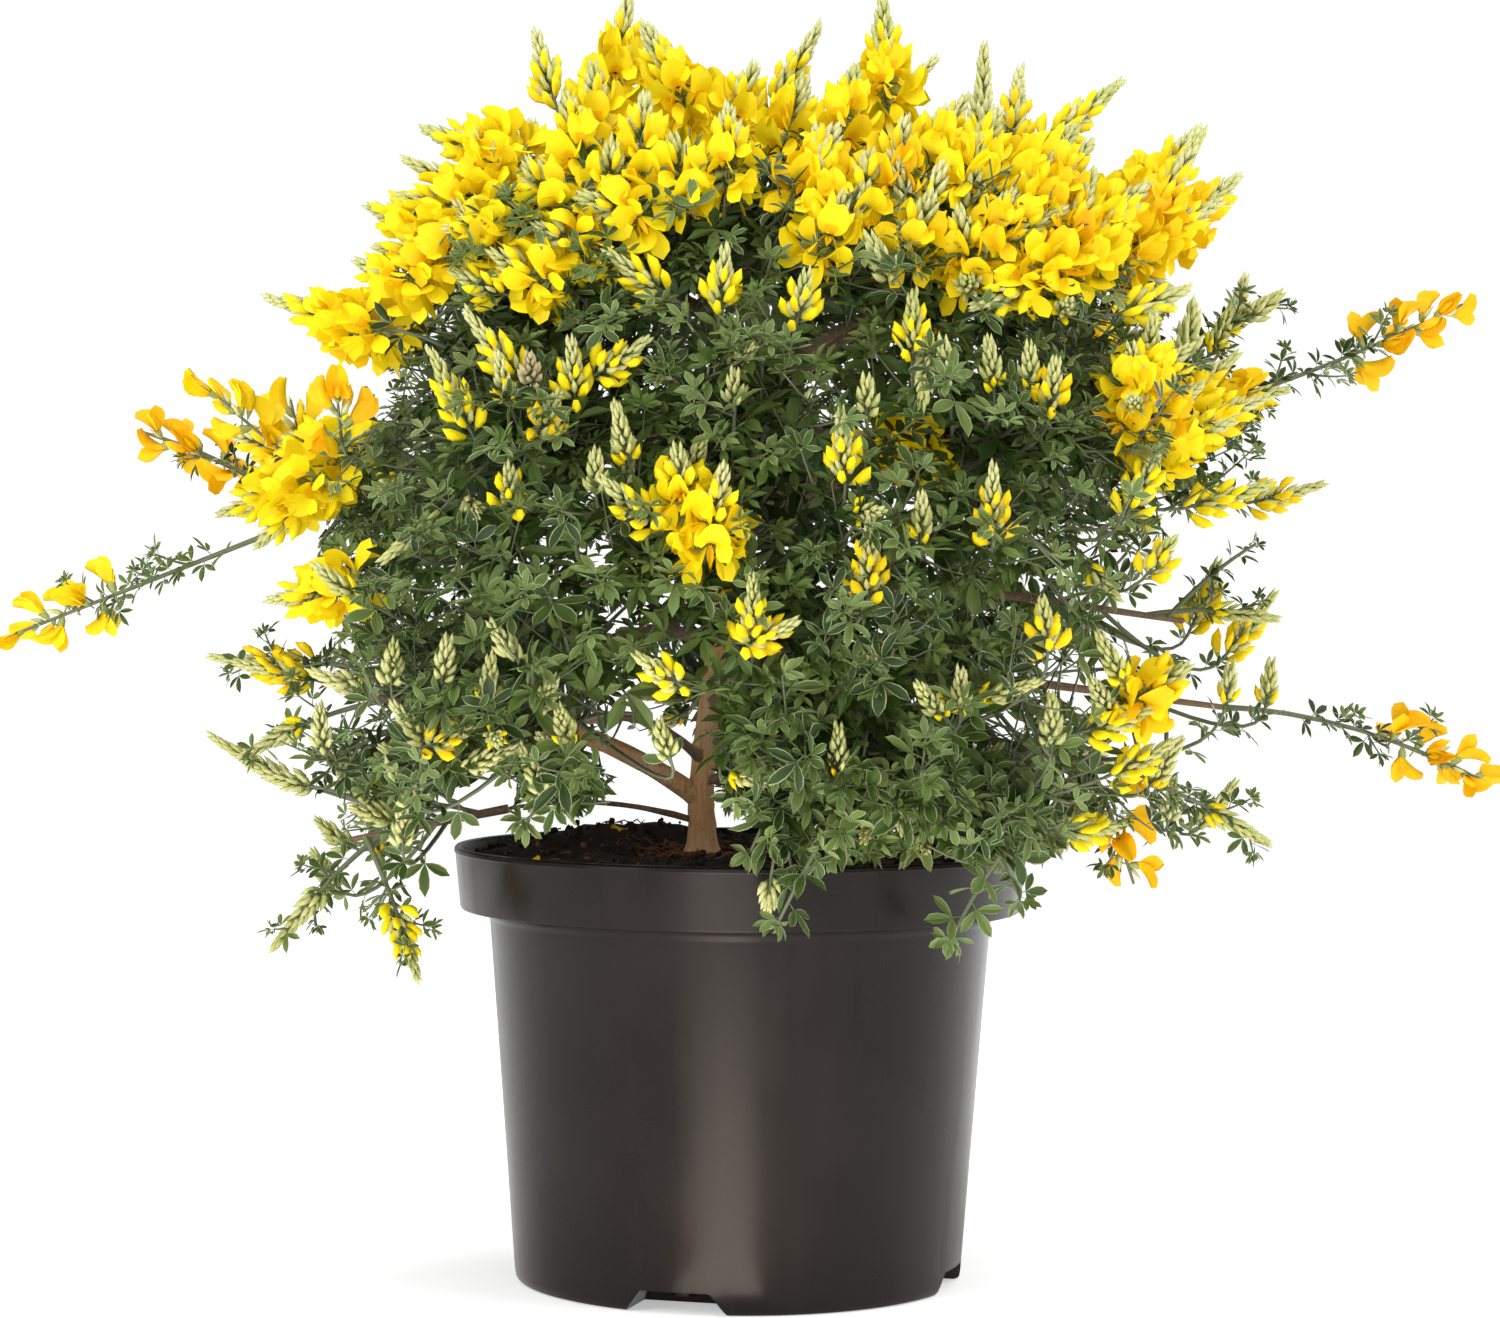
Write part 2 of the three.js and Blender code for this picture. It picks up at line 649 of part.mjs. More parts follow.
// One blade at a share of a twig, turned on round it until it has room, or none
function bladeOn(twig, size, share, angle, own, turning) {
  const along = twig.curve.getTangent(share);
  const root = twig.curve.getPoint(share);
  const lean = THREE.MathUtils.degToRad(angle);
  for (let attempt = 0; attempt < SEAT_TRIES; attempt += 1) {
    turning.angle += GOLDEN_ANGLE * (1 + SPIRAL_UNEVENNESS * (turning.random() - 0.5));
    const side = SPIRAL_START.clone().cross(along).normalize();
    side.applyAxisAngle(along, turning.angle);
    const direction = along.clone().multiplyScalar(Math.cos(lean));
    direction.addScaledVector(side, Math.sin(lean)).normalize();
    const facing = root.clone().sub(vector(CROWN_CENTRE)).normalize();
    facing.add(new THREE.Vector3(turning.random() - 0.5, turning.random() - 0.5, turning.random()));
    const beyond = twig.lead ? Infinity : CROWN_LEAF_BEYOND;
    const seated = seat(size, root, direction, facing, own, beyond);
    if (seated) {
      return [seated];
    }
  }
  return [];
}

// A twig with its leaves in a spiral, and at the tip of one that blooms a raceme with flowers
function twigSolids(twig, own, random) {
  const taper = (share) => TWIG_ROOT_RADIUS * (1 - (1 - TWIG_TIP_SHARE) * share);
  const solids = [solidOf(limb(twig.curve, taper, TWIG_SIDES, twig.lead ? LEAD_RINGS : 1, true))];
  const turning = { angle: random() * 2 * Math.PI, random };
  const scaled = (size) => size.map((side) => side * (twig.lead ? LEAD_LEAF_SCALE : 1));
  const leafEnd = twig.blooms ? RACEME_LEAF_END : LEAF_LAST;
  const length = twig.curve.getLength();
  const step = LEAF_SPACING * (twig.lead ? LEAD_LEAF_SCALE : 1) / length;
  for (let share = LEAF_FIRST; share < leafEnd; share += step) {
    solids.push(...bladeOn(twig, scaled(LEAF_SIZE), share, LEAF_ANGLE, own, turning));
  }
  if (twig.blooms) {
    const root = Math.max(1 - scaled(RACEME_SIZE)[0] * RACEME_ROOT / length, RACEME_EARLIEST);
    const flower = THREE.MathUtils.lerp(root, 1, FLOWER_PLACE);
    solids.push(...bladeOn(twig, scaled(RACEME_SIZE), root, 0, own, turning));
    solids.push(...bladeOn(twig, scaled(FLOWER_SIZE), flower, FLOWER_ANGLE, own, turning));
  }
  return solids;
}

function massSolid(own) {
  const random = seeded(LEAF_SEED + own);
  const taper = (share) => THREE.MathUtils.lerp(BOUGH_TIP_RADIUS, STEM_TIP_RADIUS, share);
  const stem = solidOf(limb(stems[own], taper, STEM_SIDES, 1));
  const twigs = twigsOf(own).flatMap((twig) => twigSolids(twig, own, random));
  return twigs.reduce((all, one) => all.add(one), stem);
}

// The plant in its pot
const plant = new THREE.Group();

function put(name, solid, finish) {
  const shape = mainBody(solid);
  shape.computeVertexNormals();
  const mesh = new THREE.Mesh(shape, new THREE.MeshStandardMaterial({ ...finish, metalness: 0 }));
  mesh.name = name;
  plant.add(mesh);
}

put('pot', pot(), FINISHES.pot);
put('soil', soil(), FINISHES.soil);
put('trunk', solidOf(trunk(0)), FINISHES.bark);
const trunkRoom = solidOf(trunk(GAP));
MASSES.forEach((mass, at) => {
  if (boughs[at]) {
    const wood = solidOf(limb(boughs[at], boughRadius, BOUGH_SIDES, BOUGH_RINGS));
    put(`bough_${mass.name}`, wood.subtract(trunkRoom), FINISHES.bark);
  }
});
MASSES.forEach((mass, at) => {
  const kind = mass.bloom > BLOSSOM_FROM ? 'blossom' : 'foliage';
  put(`${kind}_${mass.name}`, massSolid(at), FINISHES[kind]);
});

export default plant;
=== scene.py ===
"""A sweet broom in a round nursery pot, dressed for its picture.

Lengths are millimetres, as in the part's source, and become metres where a mesh is written. +Z is
up and the plant's front faces -Y. The trunk, boughs, stems and first twigs follow the source's
rule with its own numbers, and this file carries the rule on to finer twigs, leaves and blossom.
"""

import logging
import math
from collections.abc import Callable, Iterable, Iterator, Sequence
from contextlib import contextmanager
from dataclasses import dataclass, field
from enum import Enum

import bpy
import numpy as np
from mathutils import Euler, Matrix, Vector, noise


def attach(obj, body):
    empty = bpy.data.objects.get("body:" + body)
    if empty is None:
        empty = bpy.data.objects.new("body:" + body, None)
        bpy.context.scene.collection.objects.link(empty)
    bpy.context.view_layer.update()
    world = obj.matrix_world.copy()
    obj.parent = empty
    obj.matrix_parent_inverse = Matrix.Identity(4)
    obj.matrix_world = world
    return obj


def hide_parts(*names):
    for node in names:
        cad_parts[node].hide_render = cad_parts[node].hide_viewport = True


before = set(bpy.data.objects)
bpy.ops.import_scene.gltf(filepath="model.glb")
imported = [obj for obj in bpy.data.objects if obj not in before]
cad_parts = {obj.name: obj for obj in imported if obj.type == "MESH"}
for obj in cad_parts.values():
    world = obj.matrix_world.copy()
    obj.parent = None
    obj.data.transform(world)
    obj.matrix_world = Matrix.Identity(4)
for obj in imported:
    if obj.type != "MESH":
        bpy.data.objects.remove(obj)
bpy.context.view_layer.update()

LOG = logging.getLogger("broom")
Array = np.ndarray
Piece = bpy.types.Object
Socket = bpy.types.NodeSocket
Pair = tuple[float, float]
Point = tuple[float, float, float]
Colour = tuple[float, float, float]
Chances = Sequence[tuple[float, object]]

METRE = 0.001
GAP = 0.3
TURN = 2 * math.pi
GOLDEN_ANGLE = math.pi * (3 - math.sqrt(5))
GOLDEN_SHARE = 0.618
UP = np.array((0.0, 0.0, 1.0))
SIDEWAYS = np.array((1.0, 0.0, 0.0))
BODY = "root"


class Slot(Enum):
    """Names of the kinds of material."""

    POT = "pot"
    SOIL = "soil"
    BARK = "bark"
    FOLIAGE = "foliage"
    BLOSSOM = "blossom"


class Zone(Enum):
    """The parts of the crown that are joined into pieces of their own."""

    UPPER_LEFT = "upper_left"
    UPPER_RIGHT = "upper_right"
    FRONT = "front"
    SKIRT = "skirt"
    LEFT = "left"
    RIGHT = "right"
    BACK = "back"


class End(Enum):
    """What a shoot ends in."""

    LEAF = "leaf"
    FULL = "full"
    LOOSE = "loose"
    OPENING = "opening"
    BUD = "bud"


# Small helpers for numbers and points


def mix(low: float | Array, high: float | Array, share: float | Array) -> float | Array:
    """A number or a point between two, at a share of the way."""
    return low + (high - low) * share


def within(value: float, low: float, high: float) -> float:
    """A number held between two others."""
    return min(max(value, low), high)


def strewn(order: int) -> float:
    """A share for each number of a row, so that the shares spread evenly without a pattern."""
    return order * GOLDEN_SHARE % 1


def unit(vectors: Array) -> Array:
    """Vectors brought to length one."""
    return vectors / np.maximum(np.linalg.norm(vectors, axis=-1, keepdims=True), 1e-9)


def point(values: Iterable[float]) -> Array:
    """A point as an array."""
    return np.array(tuple(values), float)


def across(along: Array, turn: float) -> Array:
    """A direction square to another, turned round it by an angle."""
    side = unit(np.cross((0.3, 0.2, 1.0), along))
    return side * math.cos(turn) + np.cross(along, side) * math.sin(turn)


class Seeded:
    """Seeded random numbers, the same run of them each time."""

    MASK = 0xFFFFFFFF
    STEP = 0x6D2B79F5

    def __init__(self, seed: int) -> None:
        """Start the run at a seed."""
        self.state = seed & self.MASK

    def __call__(self) -> float:
        """Draw the next number.

        Returns:
            A number from 0 up to 1.
        """
        self.state = (self.state + self.STEP) & self.MASK
        mixed = ((self.state ^ (self.state >> 15)) * (self.state | 1)) & self.MASK
        mixed ^= (mixed + (mixed ^ (mixed >> 7)) * (mixed | 61)) & self.MASK
        return (mixed ^ (mixed >> 14)) / (self.MASK + 1)

    def angle(self) -> float:
        """The next number as an angle of the full turn."""
        return self() * TURN

    def between(self, low: float, high: float) -> float:
        """The next number between two others."""
        return mix(low, high, self())

    def vector(self) -> Array:
        """Three numbers between -0.5 and 0.5."""
        return np.array((self() - 0.5, self() - 0.5, self() - 0.5))

    def chosen(self, chances: Chances) -> object:
        """One of several things, each with its share of the chance.

        Args:
            chances: pairs of a share and a thing.

        Returns:
            The thing that the next number falls on.
        """
        place = self() * sum(share for share, _ in chances)
        for share, thing in chances:
            place -= share
            if place < 0:
                return thing
        return chances[-1][1]


# Lines through space


class Curve:
    """A line through space, read by a share from 0 to 1."""

    STEP = 1e-4

    def at(self, share: float) -> Array:
        """The point at a share of the line."""
        raise NotImplementedError

    def tangent(self, share: float) -> Array:
        """The direction of the line at a share."""
        low, high = max(share - self.STEP, 0.0), min(share + self.STEP, 1.0)
        return unit(self.at(high) - self.at(low))

    def points(self, count: int, first: float = 0.0) -> Array:
        """The ends of a number of even lengths of the line, from a first share on."""
        return np.array([self.at(share) for share in np.linspace(first, 1, count + 1)])

    def length(self) -> float:
        """The length of the line."""
        return float(np.linalg.norm(np.diff(self.points(12), axis=0), axis=1).sum())


class Bend(Curve):
    """A line with one bend, a quadratic curve."""

    def __init__(self, start: Array, middle: Array, end: Array) -> None:
        """Take the two ends and the point that pulls the middle."""
        self.start, self.middle, self.end = start, middle, end

    def at(self, share: float) -> Array:
        """The point at a share of the line."""
        rest = 1 - share
        return self.start * rest**2 + self.middle * 2 * rest * share + self.end * share**2


class Spline(Curve):
    """A smooth line through points, centripetal as in the source."""

    def __init__(self, points: Sequence[Point]) -> None:
        """Take the points that the line runs through."""
        inner = [point(one) for one in points]
        self.through = [2 * inner[0] - inner[1], *inner, 2 * inner[-1] - inner[-2]]

    def at(self, share: float) -> Array:
        """The point at a share of the line.

        Args:
            share: the share.

        Returns:
            The point, on the cubic between the two nearest points that the line runs through.
        """
        spans = len(self.through) - 3
        place = share * spans
        first = min(int(place), spans - 1)
        near = self.through[first : first + 4]
        before, span, after = (
            float(np.linalg.norm(near[i + 1] - near[i])) ** 0.5 for i in range(3))
        leave = ((near[1] - near[0]) / before - (near[2] - near[0]) / (before + span)
                 + (near[2] - near[1]) / span) * span
        arrive = ((near[2] - near[1]) / span - (near[3] - near[1]) / (span + after)
                  + (near[3] - near[2]) / after) * span
        part = place - first
        square = -3 * near[1] + 3 * near[2] - 2 * leave - arrive
        cube = 2 * near[1] - 2 * near[2] + leave + arrive
        return near[1] + leave * part + square * part**2 + cube * part**3


def arch(start: Array, end: Array, rise: float) -> Bend:
    """A line between two points whose middle is raised by a share of its length."""
    middle = (start + end) / 2 + UP * rise * np.linalg.norm(end - start)
    return Bend(start, middle, end)


# The plant's form, by the source's numbers and rule


@dataclass(frozen=True)
class Mass:
    """One mass of the crown: its heart, its bough's height on the trunk, and its lead shoots."""

    name: str
    heart: Point
    leaves: float | None
    bloom: float
    racemes: tuple[Point, ...] = ()
    shoots: tuple[Point, ...] = ()

    @property
    def node(self) -> str:
        """The name of the mass's node in the model."""
        return ("blossom_" if self.bloom > 0.5 else "foliage_") + self.name

    @property
    def zone(self) -> Zone:
        """The part of the crown that the mass is in.

        Returns:
            The first of these that its heart lies in: top, back, front and the two sides.
        """
        x, y, z = self.heart
        if z >= 350:
            return Zone.UPPER_LEFT if x < 0 else Zone.UPPER_RIGHT
        if y > 60:
            return Zone.BACK
        if y < -90:
            return Zone.FRONT if z > 250 else Zone.SKIRT
        return Zone.LEFT if x < 0 else Zone.RIGHT

    @property
    def upper(self) -> bool:
        """Whether the mass is one of those at the top, which bloom most."""
        return self.zone in (Zone.UPPER_LEFT, Zone.UPPER_RIGHT)


MASSES = (
    Mass("top_middle", (-8, 9, 440), None, 1, ((-48, 0, 500), (-17, 12, 485), (22, 12, 489))),
    Mass("top_left", (-78, -22, 420), 378, 1, ((-79, -24, 485), (-122, -30, 452))),
    Mass("top_right", (48, -12, 428), 386, 1, ((54, -4, 501), (90, -14, 482))),
    Mass("top_front", (-12, -78, 408), 370, 0.85, ((0, -96, 446),)),
    Mass("top_back_left", (-72, 78, 404), 362, 0.8, ((-70, 92, 474),)),
    Mass("top_back_right", (52, 84, 408), 354, 0.8, ((60, 96, 478),)),
    Mass("arm_right", (122, -18, 404), 346, 0.9, ((142, -14, 466), (188, -26, 438))),
    Mass("shoulder_left", (-128, -32, 362), 338, 0.8, ((-146, -42, 420), (-184, -34, 382))),
    Mass("shoulder_right", (82, -88, 388), 330, 0.6, ((100, -96, 436),)),
    Mass("front_right", (74, -112, 318), 322, 0.25, ((38, -164, 326),)),
    Mass("front_left", (-82, -108, 326), 314, 0.15),
    Mass("back_left", (-118, 86, 318), 306, 0.35, ((-196, 110, 330),)),
    Mass("back_right", (118, 84, 326), 298, 0.35, (), ((190, 118, 352),)),
    Mass("right", (154, -22, 336), 290, 0.7, ((208, -22, 350), (284, -14, 372)),
         ((204, -16, 386),)),
    Mass("left", (-164, -18, 300), 282, 0.75, ((-230, -24, 326), (-291, -14, 263))),
    Mass("back_middle", (0, 142, 318), 274, 0.3, ((8, 206, 340),)),
    Mass("front_middle", (-6, -128, 286), 266, 0.3, ((-10, -176, 294), (4, -168, 256))),
    Mass("side_right", (158, -30, 262), 258, 0.3, ((226, -26, 308),), ((204, -34, 262),)),
    Mass("low_back_left", (-92, 98, 232), 250, 0.15, (), ((-146, 146, 196),)),
    Mass("low_back_right", (98, 96, 230), 242, 0.15, (), ((164, 136, 190),)),
    Mass("low_back_middle", (2, 128, 222), 234, 0.1, (), ((6, 186, 184),)),
    Mass("low_front_right", (46, -122, 214), 226, 0.1, (), ((10, -130, 160),)),
    Mass("spray_far_right", (186, 22, 226), 218, 0.3, ((296, 4, 190),)),
    Mass("low_right", (126, -56, 208), 210, 0.2, ((142, -70, 166),), ((200, -50, 177),)),
    Mass("low_front_left", (-72, -116, 222), 203, 0.1),
    Mass("low_left", (-134, -40, 228), 188, 0.2, ((-188, -48, 246),), ((-190, -42, 207),)),
    Mass("hang_front_right", (92, -98, 178), 195, 0, (), ((76, -104, 146), (98, -88, 152))),
    Mass("hang_left", (-138, -30, 176), 179, 0.4, ((-128, -62, 126),), ((-178, -42, 134),)),
)
HEARTS = np.array([mass.heart for mass in MASSES], float)

# What a shoot ends in, for the tables below
LEAF, FULL, LOOSE, OPENING, BUD = End

# Lead shoots that end otherwise than the rest: what each ends in, where its tip lies as the photo
# shows it, and how much it arches
LEAD_ENDS = {
    (-291, -14, 263): (LOOSE, (-287, -14, 250), 0.0),
    (284, -14, 372): (LOOSE, (279, -14, 384), -0.06),
    (296, 4, 190): (LOOSE, (296, 4, 196), 0.12),
    (-230, -24, 326): (LOOSE, (-232, -24, 330), 0.1),
    (142, -70, 166): (LOOSE, (148, -70, 162), 0.1),
    (-128, -62, 126): (OPENING, (-122, -62, 124), 0.1),
    (226, -26, 308): (LEAF, (198, -26, 290), 0.1),
    (-188, -48, 246): (OPENING, (-192, -48, 242), 0.04),
    (4, -168, 256): (OPENING, (4, -168, 256), 0.1),
    (76, -104, 146): (LEAF, (78, -104, 144), 0.1),
    (98, -88, 152): (LEAF, (104, -88, 158), 0.1),
    (10, -130, 160): (LEAF, (14, -130, 152), 0.1),
    (6, 186, 184): (LEAF, (6, 186, 184), 0.1),
}

# Racemes, buds and leafy tips that show in front and on the outline: the x and z of each one's
# foot and tip as the eye places them on the plane through the trunk, and what it is
SEEN_TIPS = (
    (-74, 458, -82, 486, OPENING), (-53, 466, -47, 500, FULL), (-22, 458, -39, 490, FULL),
    (-88, 440, -124, 450, FULL), (-104, 420, -134, 424, FULL), (-112, 430, -132, 438, BUD),
    (-84, 416, -116, 412, FULL), (-42, 434, -40, 462, FULL), (-8, 430, -7, 458, FULL),
    (-38, 418, -62, 424, FULL), (-30, 386, -52, 402, OPENING), (-10, 378, -8, 403, OPENING),
    (-74, 390, -98, 402, FULL), (-112, 402, -143, 404, FULL), (-142, 372, -186, 384, FULL),
    (-94, 386, -112, 394, OPENING), (-86, 350, -108, 378, OPENING), (-66, 342, -68, 367, OPENING),
    (-60, 354, -40, 368, OPENING), (-106, 330, -122, 362, OPENING), (-80, 330, -74, 346, OPENING),
    (-92, 343, -96, 360, BUD), (8, 456, 27, 490, OPENING), (55, 458, 53, 500, FULL),
    (48, 456, 72, 478, OPENING), (34, 416, 28, 450, FULL), (56, 426, 62, 454, FULL),
    (14, 444, 22, 470, FULL), (74, 444, 84, 462, OPENING), (92, 448, 93, 483, BUD),
    (103, 444, 107, 474, OPENING), (116, 446, 145, 470, OPENING), (108, 430, 128, 452, FULL),
    (66, 416, 58, 440, BUD), (86, 418, 92, 447, BUD), (96, 408, 122, 420, OPENING),
    (58, 392, 50, 408, BUD), (88, 396, 84, 418, FULL), (120, 398, 92, 384, FULL),
    (120, 396, 136, 434, FULL), (148, 402, 178, 450, FULL), (150, 406, 184, 424, FULL),
    (152, 420, 176, 452, FULL), (164, 410, 192, 434, FULL), (146, 380, 172, 390, OPENING),
    (190, 372, 196, 394, BUD), (196, 378, 209, 388, BUD), (172, 362, 176, 382, BUD),
    (182, 364, 190, 381, BUD), (20, 374, 24, 394, OPENING), (66, 360, 66, 386, OPENING),
    (72, 364, 70, 345, BUD), (120, 340, 122, 360, OPENING), (98, 350, 96, 368, BUD),
    (112, 350, 112, 366, BUD), (158, 360, 160, 377, BUD), (158, 336, 192, 364, FULL),
    (164, 334, 204, 348, FULL), (156, 346, 152, 366, FULL), (150, 300, 163, 328, OPENING),
    (172, 304, 205, 314, OPENING), (196, 306, 226, 314, OPENING), (157, 276, 168, 291, OPENING),
    (175, 254, 186, 282, OPENING), (188, 244, 208, 270, OPENING), (120, 246, 118, 266, OPENING),
    (150, 236, 141, 253, BUD), (152, 228, 174, 242, FULL), (190, 226, 192, 241, BUD),
    (206, 226, 208, 243, BUD), (134, 216, 158, 224, OPENING), (122, 210, 122, 228, BUD),
    (143, 198, 168, 212, OPENING), (160, 194, 172, 212, BUD), (168, 180, 170, 196, BUD),
    (180, 178, 193, 195, BUD), (126, 176, 150, 180, OPENING), (-160, 318, -204, 332, FULL),
    (-166, 316, -190, 288, FULL), (-156, 322, -182, 330, FULL), (-158, 328, -160, 350, LOOSE),
    (-184, 326, -212, 350, LOOSE), (-172, 322, -178, 344, LOOSE), (-152, 272, -184, 266, FULL),
    (-150, 266, -166, 278, BUD), (-166, 240, -207, 243, OPENING), (-150, 232, -167, 237, BUD),
    (-176, 194, -207, 211, BUD), (-168, 192, -192, 200, BUD), (-122, 208, -136, 224, BUD),
    (-126, 208, -107, 216, OPENING), (-118, 234, -116, 249, BUD), (-138, 232, -137, 248, BUD),
    (-100, 224, -99, 242, BUD), (-110, 200, -90, 208, BUD), (-164, 206, -166, 222, BUD),
    (-130, 186, -138, 202, BUD), (-133, 168, -133, 184, BUD), (-142, 164, -144, 178, BUD),
    (-152, 168, -165, 178, BUD), (-158, 152, -167, 165, BUD), (-118, 302, -140, 283, BUD),
    (-92, 300, -92, 317, OPENING), (-45, 320, -50, 341, BUD), (-58, 308, -58, 323, BUD),
    (-34, 296, -54, 313, OPENING), (-14, 287, -8, 318, FULL), (-22, 299, -26, 325, FULL),
    (4, 246, 4, 274, OPENING), (0, 250, 19, 258, OPENING), (-22, 232, -40, 244, OPENING),
    (40, 312, 38, 340, OPENING), (49, 266, 50, 298, OPENING), (98, 290, 98, 318, OPENING),
    (70, 290, 70, 307, BUD), (86, 222, 86, 238, BUD), (38, 198, 38, 216, BUD),
    (-76, 188, -86, 207, BUD), (-28, 204, -32, 217, BUD), (-84, 180, -94, 174, LEAF),
    (12, 158, 11, 147, BUD), (-4, 343, -4, 354, BUD), (48, 340, 48, 352, BUD),
    (80, 352, 78, 368, BUD), (-64, 436, -70, 462, FULL), (-98, 428, -104, 448, FULL),
    (-26, 444, -20, 472, FULL), (-6, 452, 2, 474, FULL), (38, 446, 42, 474, FULL),
    (70, 436, 78, 458, FULL), (-126, 392, -150, 398, FULL), (-58, 446, -60, 474, FULL),
    (84, 430, 98, 458, FULL), (46, 420, 48, 440, FULL), (-60, 406, -80, 412, FULL),
    (104, 412, 118, 440, FULL), (-24, 426, -28, 446, FULL), (-54, 422, -52, 444, FULL),
    (-74, 420, -84, 436, FULL), (22, 428, 34, 450, FULL), (30, 404, 38, 424, FULL),
    (-96, 404, -112, 420, FULL), (64, 402, 72, 424, FULL), (112, 420, 134, 446, FULL),
    (132, 410, 156, 430, FULL), (28, 350, 30, 364, LEAF), (10, 400, 12, 416, LEAF),
    (60, 250, 62, 262, LEAF), (24, 196, 20, 186, LEAF), (56, 188, 52, 176, LEAF),
    (92, 192, 100, 180, LEAF), (2, 210, -2, 196, LEAF), (14, 206, 10, 192, LEAF),
    (34, 204, 36, 190, LEAF), (48, 206, 46, 192, LEAF), (70, 196, 72, 182, LEAF),
    (14, 226, 8, 214, LEAF), (108, 186, 112, 172, LEAF), (80, 186, 84, 170, LEAF),
    (40, 178, 36, 166, LEAF), (-130, 284, -136, 290, LEAF), (-112, 274, -118, 282, LEAF),
    (-96, 284, -98, 292, LEAF), (-80, 274, -84, 282, LEAF), (-66, 288, -66, 296, LEAF),
    (46, 302, 48, 312, LEAF), (60, 296, 64, 304, LEAF), (48, 262, 52, 272, LEAF),
    (-30, 362, -36, 372, LEAF), (-14, 358, -12, 370, LEAF), (6, 368, 4, 382, LEAF),
    (20, 162, 24, 152, LEAF), (34, 168, 40, 158, LEAF), (4, 168, 0, 160, LEAF),
    (60, 178, 66, 162, LEAF), (28, 176, 32, 160, LEAF), (86, 174, 92, 160, LEAF),
    (104, 178, 110, 164, LEAF), (44, 174, 42, 158, LEAF), (-172, 312, -204, 300, FULL),
    (-8, 196, -4, 184, LEAF), (2, 188, 4, 176, LEAF), (150, 336, 178, 352, FULL),
    (158, 328, 190, 338, FULL), (150, 350, 174, 368, FULL), (92, 404, 104, 426, FULL),
    (128, 400, 146, 420, FULL), (-120, 412, -146, 420, FULL),
)


@dataclass(frozen=True)
class Outline:
    """The crown's leafy outline as the eye places it on the plane through the trunk.

    Its airy places are ellipses, each with its middle, its two half axes and the share of leaves
    that is left out there.
    """

    eye: Point = (0, -1600, 283)
    corners: tuple[Pair, ...] = (
        (-52, 454), (-78, 442), (-108, 424), (-130, 400), (-140, 374), (-142, 346), (-160, 318),
        (-168, 290), (-164, 262), (-162, 250), (-180, 246), (-178, 238), (-158, 231), (-156, 222),
        (-182, 214), (-188, 206), (-160, 196), (-158, 170), (-134, 170), (-118, 190), (-106, 200),
        (-94, 198), (-84, 184), (-50, 178), (-46, 192), (-58, 202), (-42, 213), (-28, 217),
        (-20, 208), (-6, 182), (8, 168), (60, 162), (104, 158), (122, 164), (134, 180), (168, 176),
        (206, 178), (184, 194), (142, 200), (130, 207), (140, 216), (164, 221), (158, 227),
        (126, 231), (150, 238), (184, 240), (160, 247), (146, 262), (158, 284), (180, 300),
        (206, 306), (212, 336), (202, 352), (176, 372), (166, 392), (158, 404), (138, 412),
        (120, 428), (100, 442), (60, 450), (20, 454), (0, 452),
    )
    airy: tuple[tuple[float, ...], ...] = (
        (132, 212, 42, 34, 0.8), (-46, 222, 32, 17, 0.7), (-152, 206, 28, 46, 0.55),
        (-128, 374, 20, 26, 0.7), (136, 298, 24, 28, 0.5), (158, 382, 28, 22, 0.6),
        (-138, 332, 24, 30, 0.4), (0, 300, 220, 200, 0.06))

    def openness(self, spot: Array) -> float:
        """The share of leaves left out at a point, where the eye sees sky through the crown."""
        x, z = self.seen(spot[None])[0]
        return max((share for at_x, at_z, wide, high, share in self.airy
                    if ((x - at_x) / wide) ** 2 + ((z - at_z) / high) ** 2 < 1), default=0.0)

    def seen(self, points: Array) -> Array:
        """The x and z where the eye places points on the plane through the trunk."""
        scale = self.eye[1] / (self.eye[1] - points[:, 1:2])
        return (self.eye + (points - self.eye) * scale)[:, (0, 2)]

    def placed(self, x: float, z: float, y: float) -> Array:
        """The point at a depth that the eye places at an x and z."""
        eye = point(self.eye)
        return eye + (point((x, 0, z)) - eye) * (y - eye[1]) / -eye[1]

    def holds(self, points: Array) -> Array:
        """Whether the outline holds points as the eye places them.

        Args:
            points: the points as rows.

        Returns:
            True or false for each: whether a line from it crosses the border an odd number
            of times.
        """
        seen = self.seen(points)
        near = np.array(self.corners, float)
        after = np.roll(near, -1, axis=0)
        x, z = seen[:, :1], seen[:, 1:]
        between = (near[:, 1] > z) != (after[:, 1] > z)
        rise = np.where(after[:, 1] == near[:, 1], 1, after[:, 1] - near[:, 1])
        border = near[:, 0] + (z - near[:, 1]) / rise * (after[:, 0] - near[:, 0])
        return (between & (x < border)).sum(1) % 2 == 1


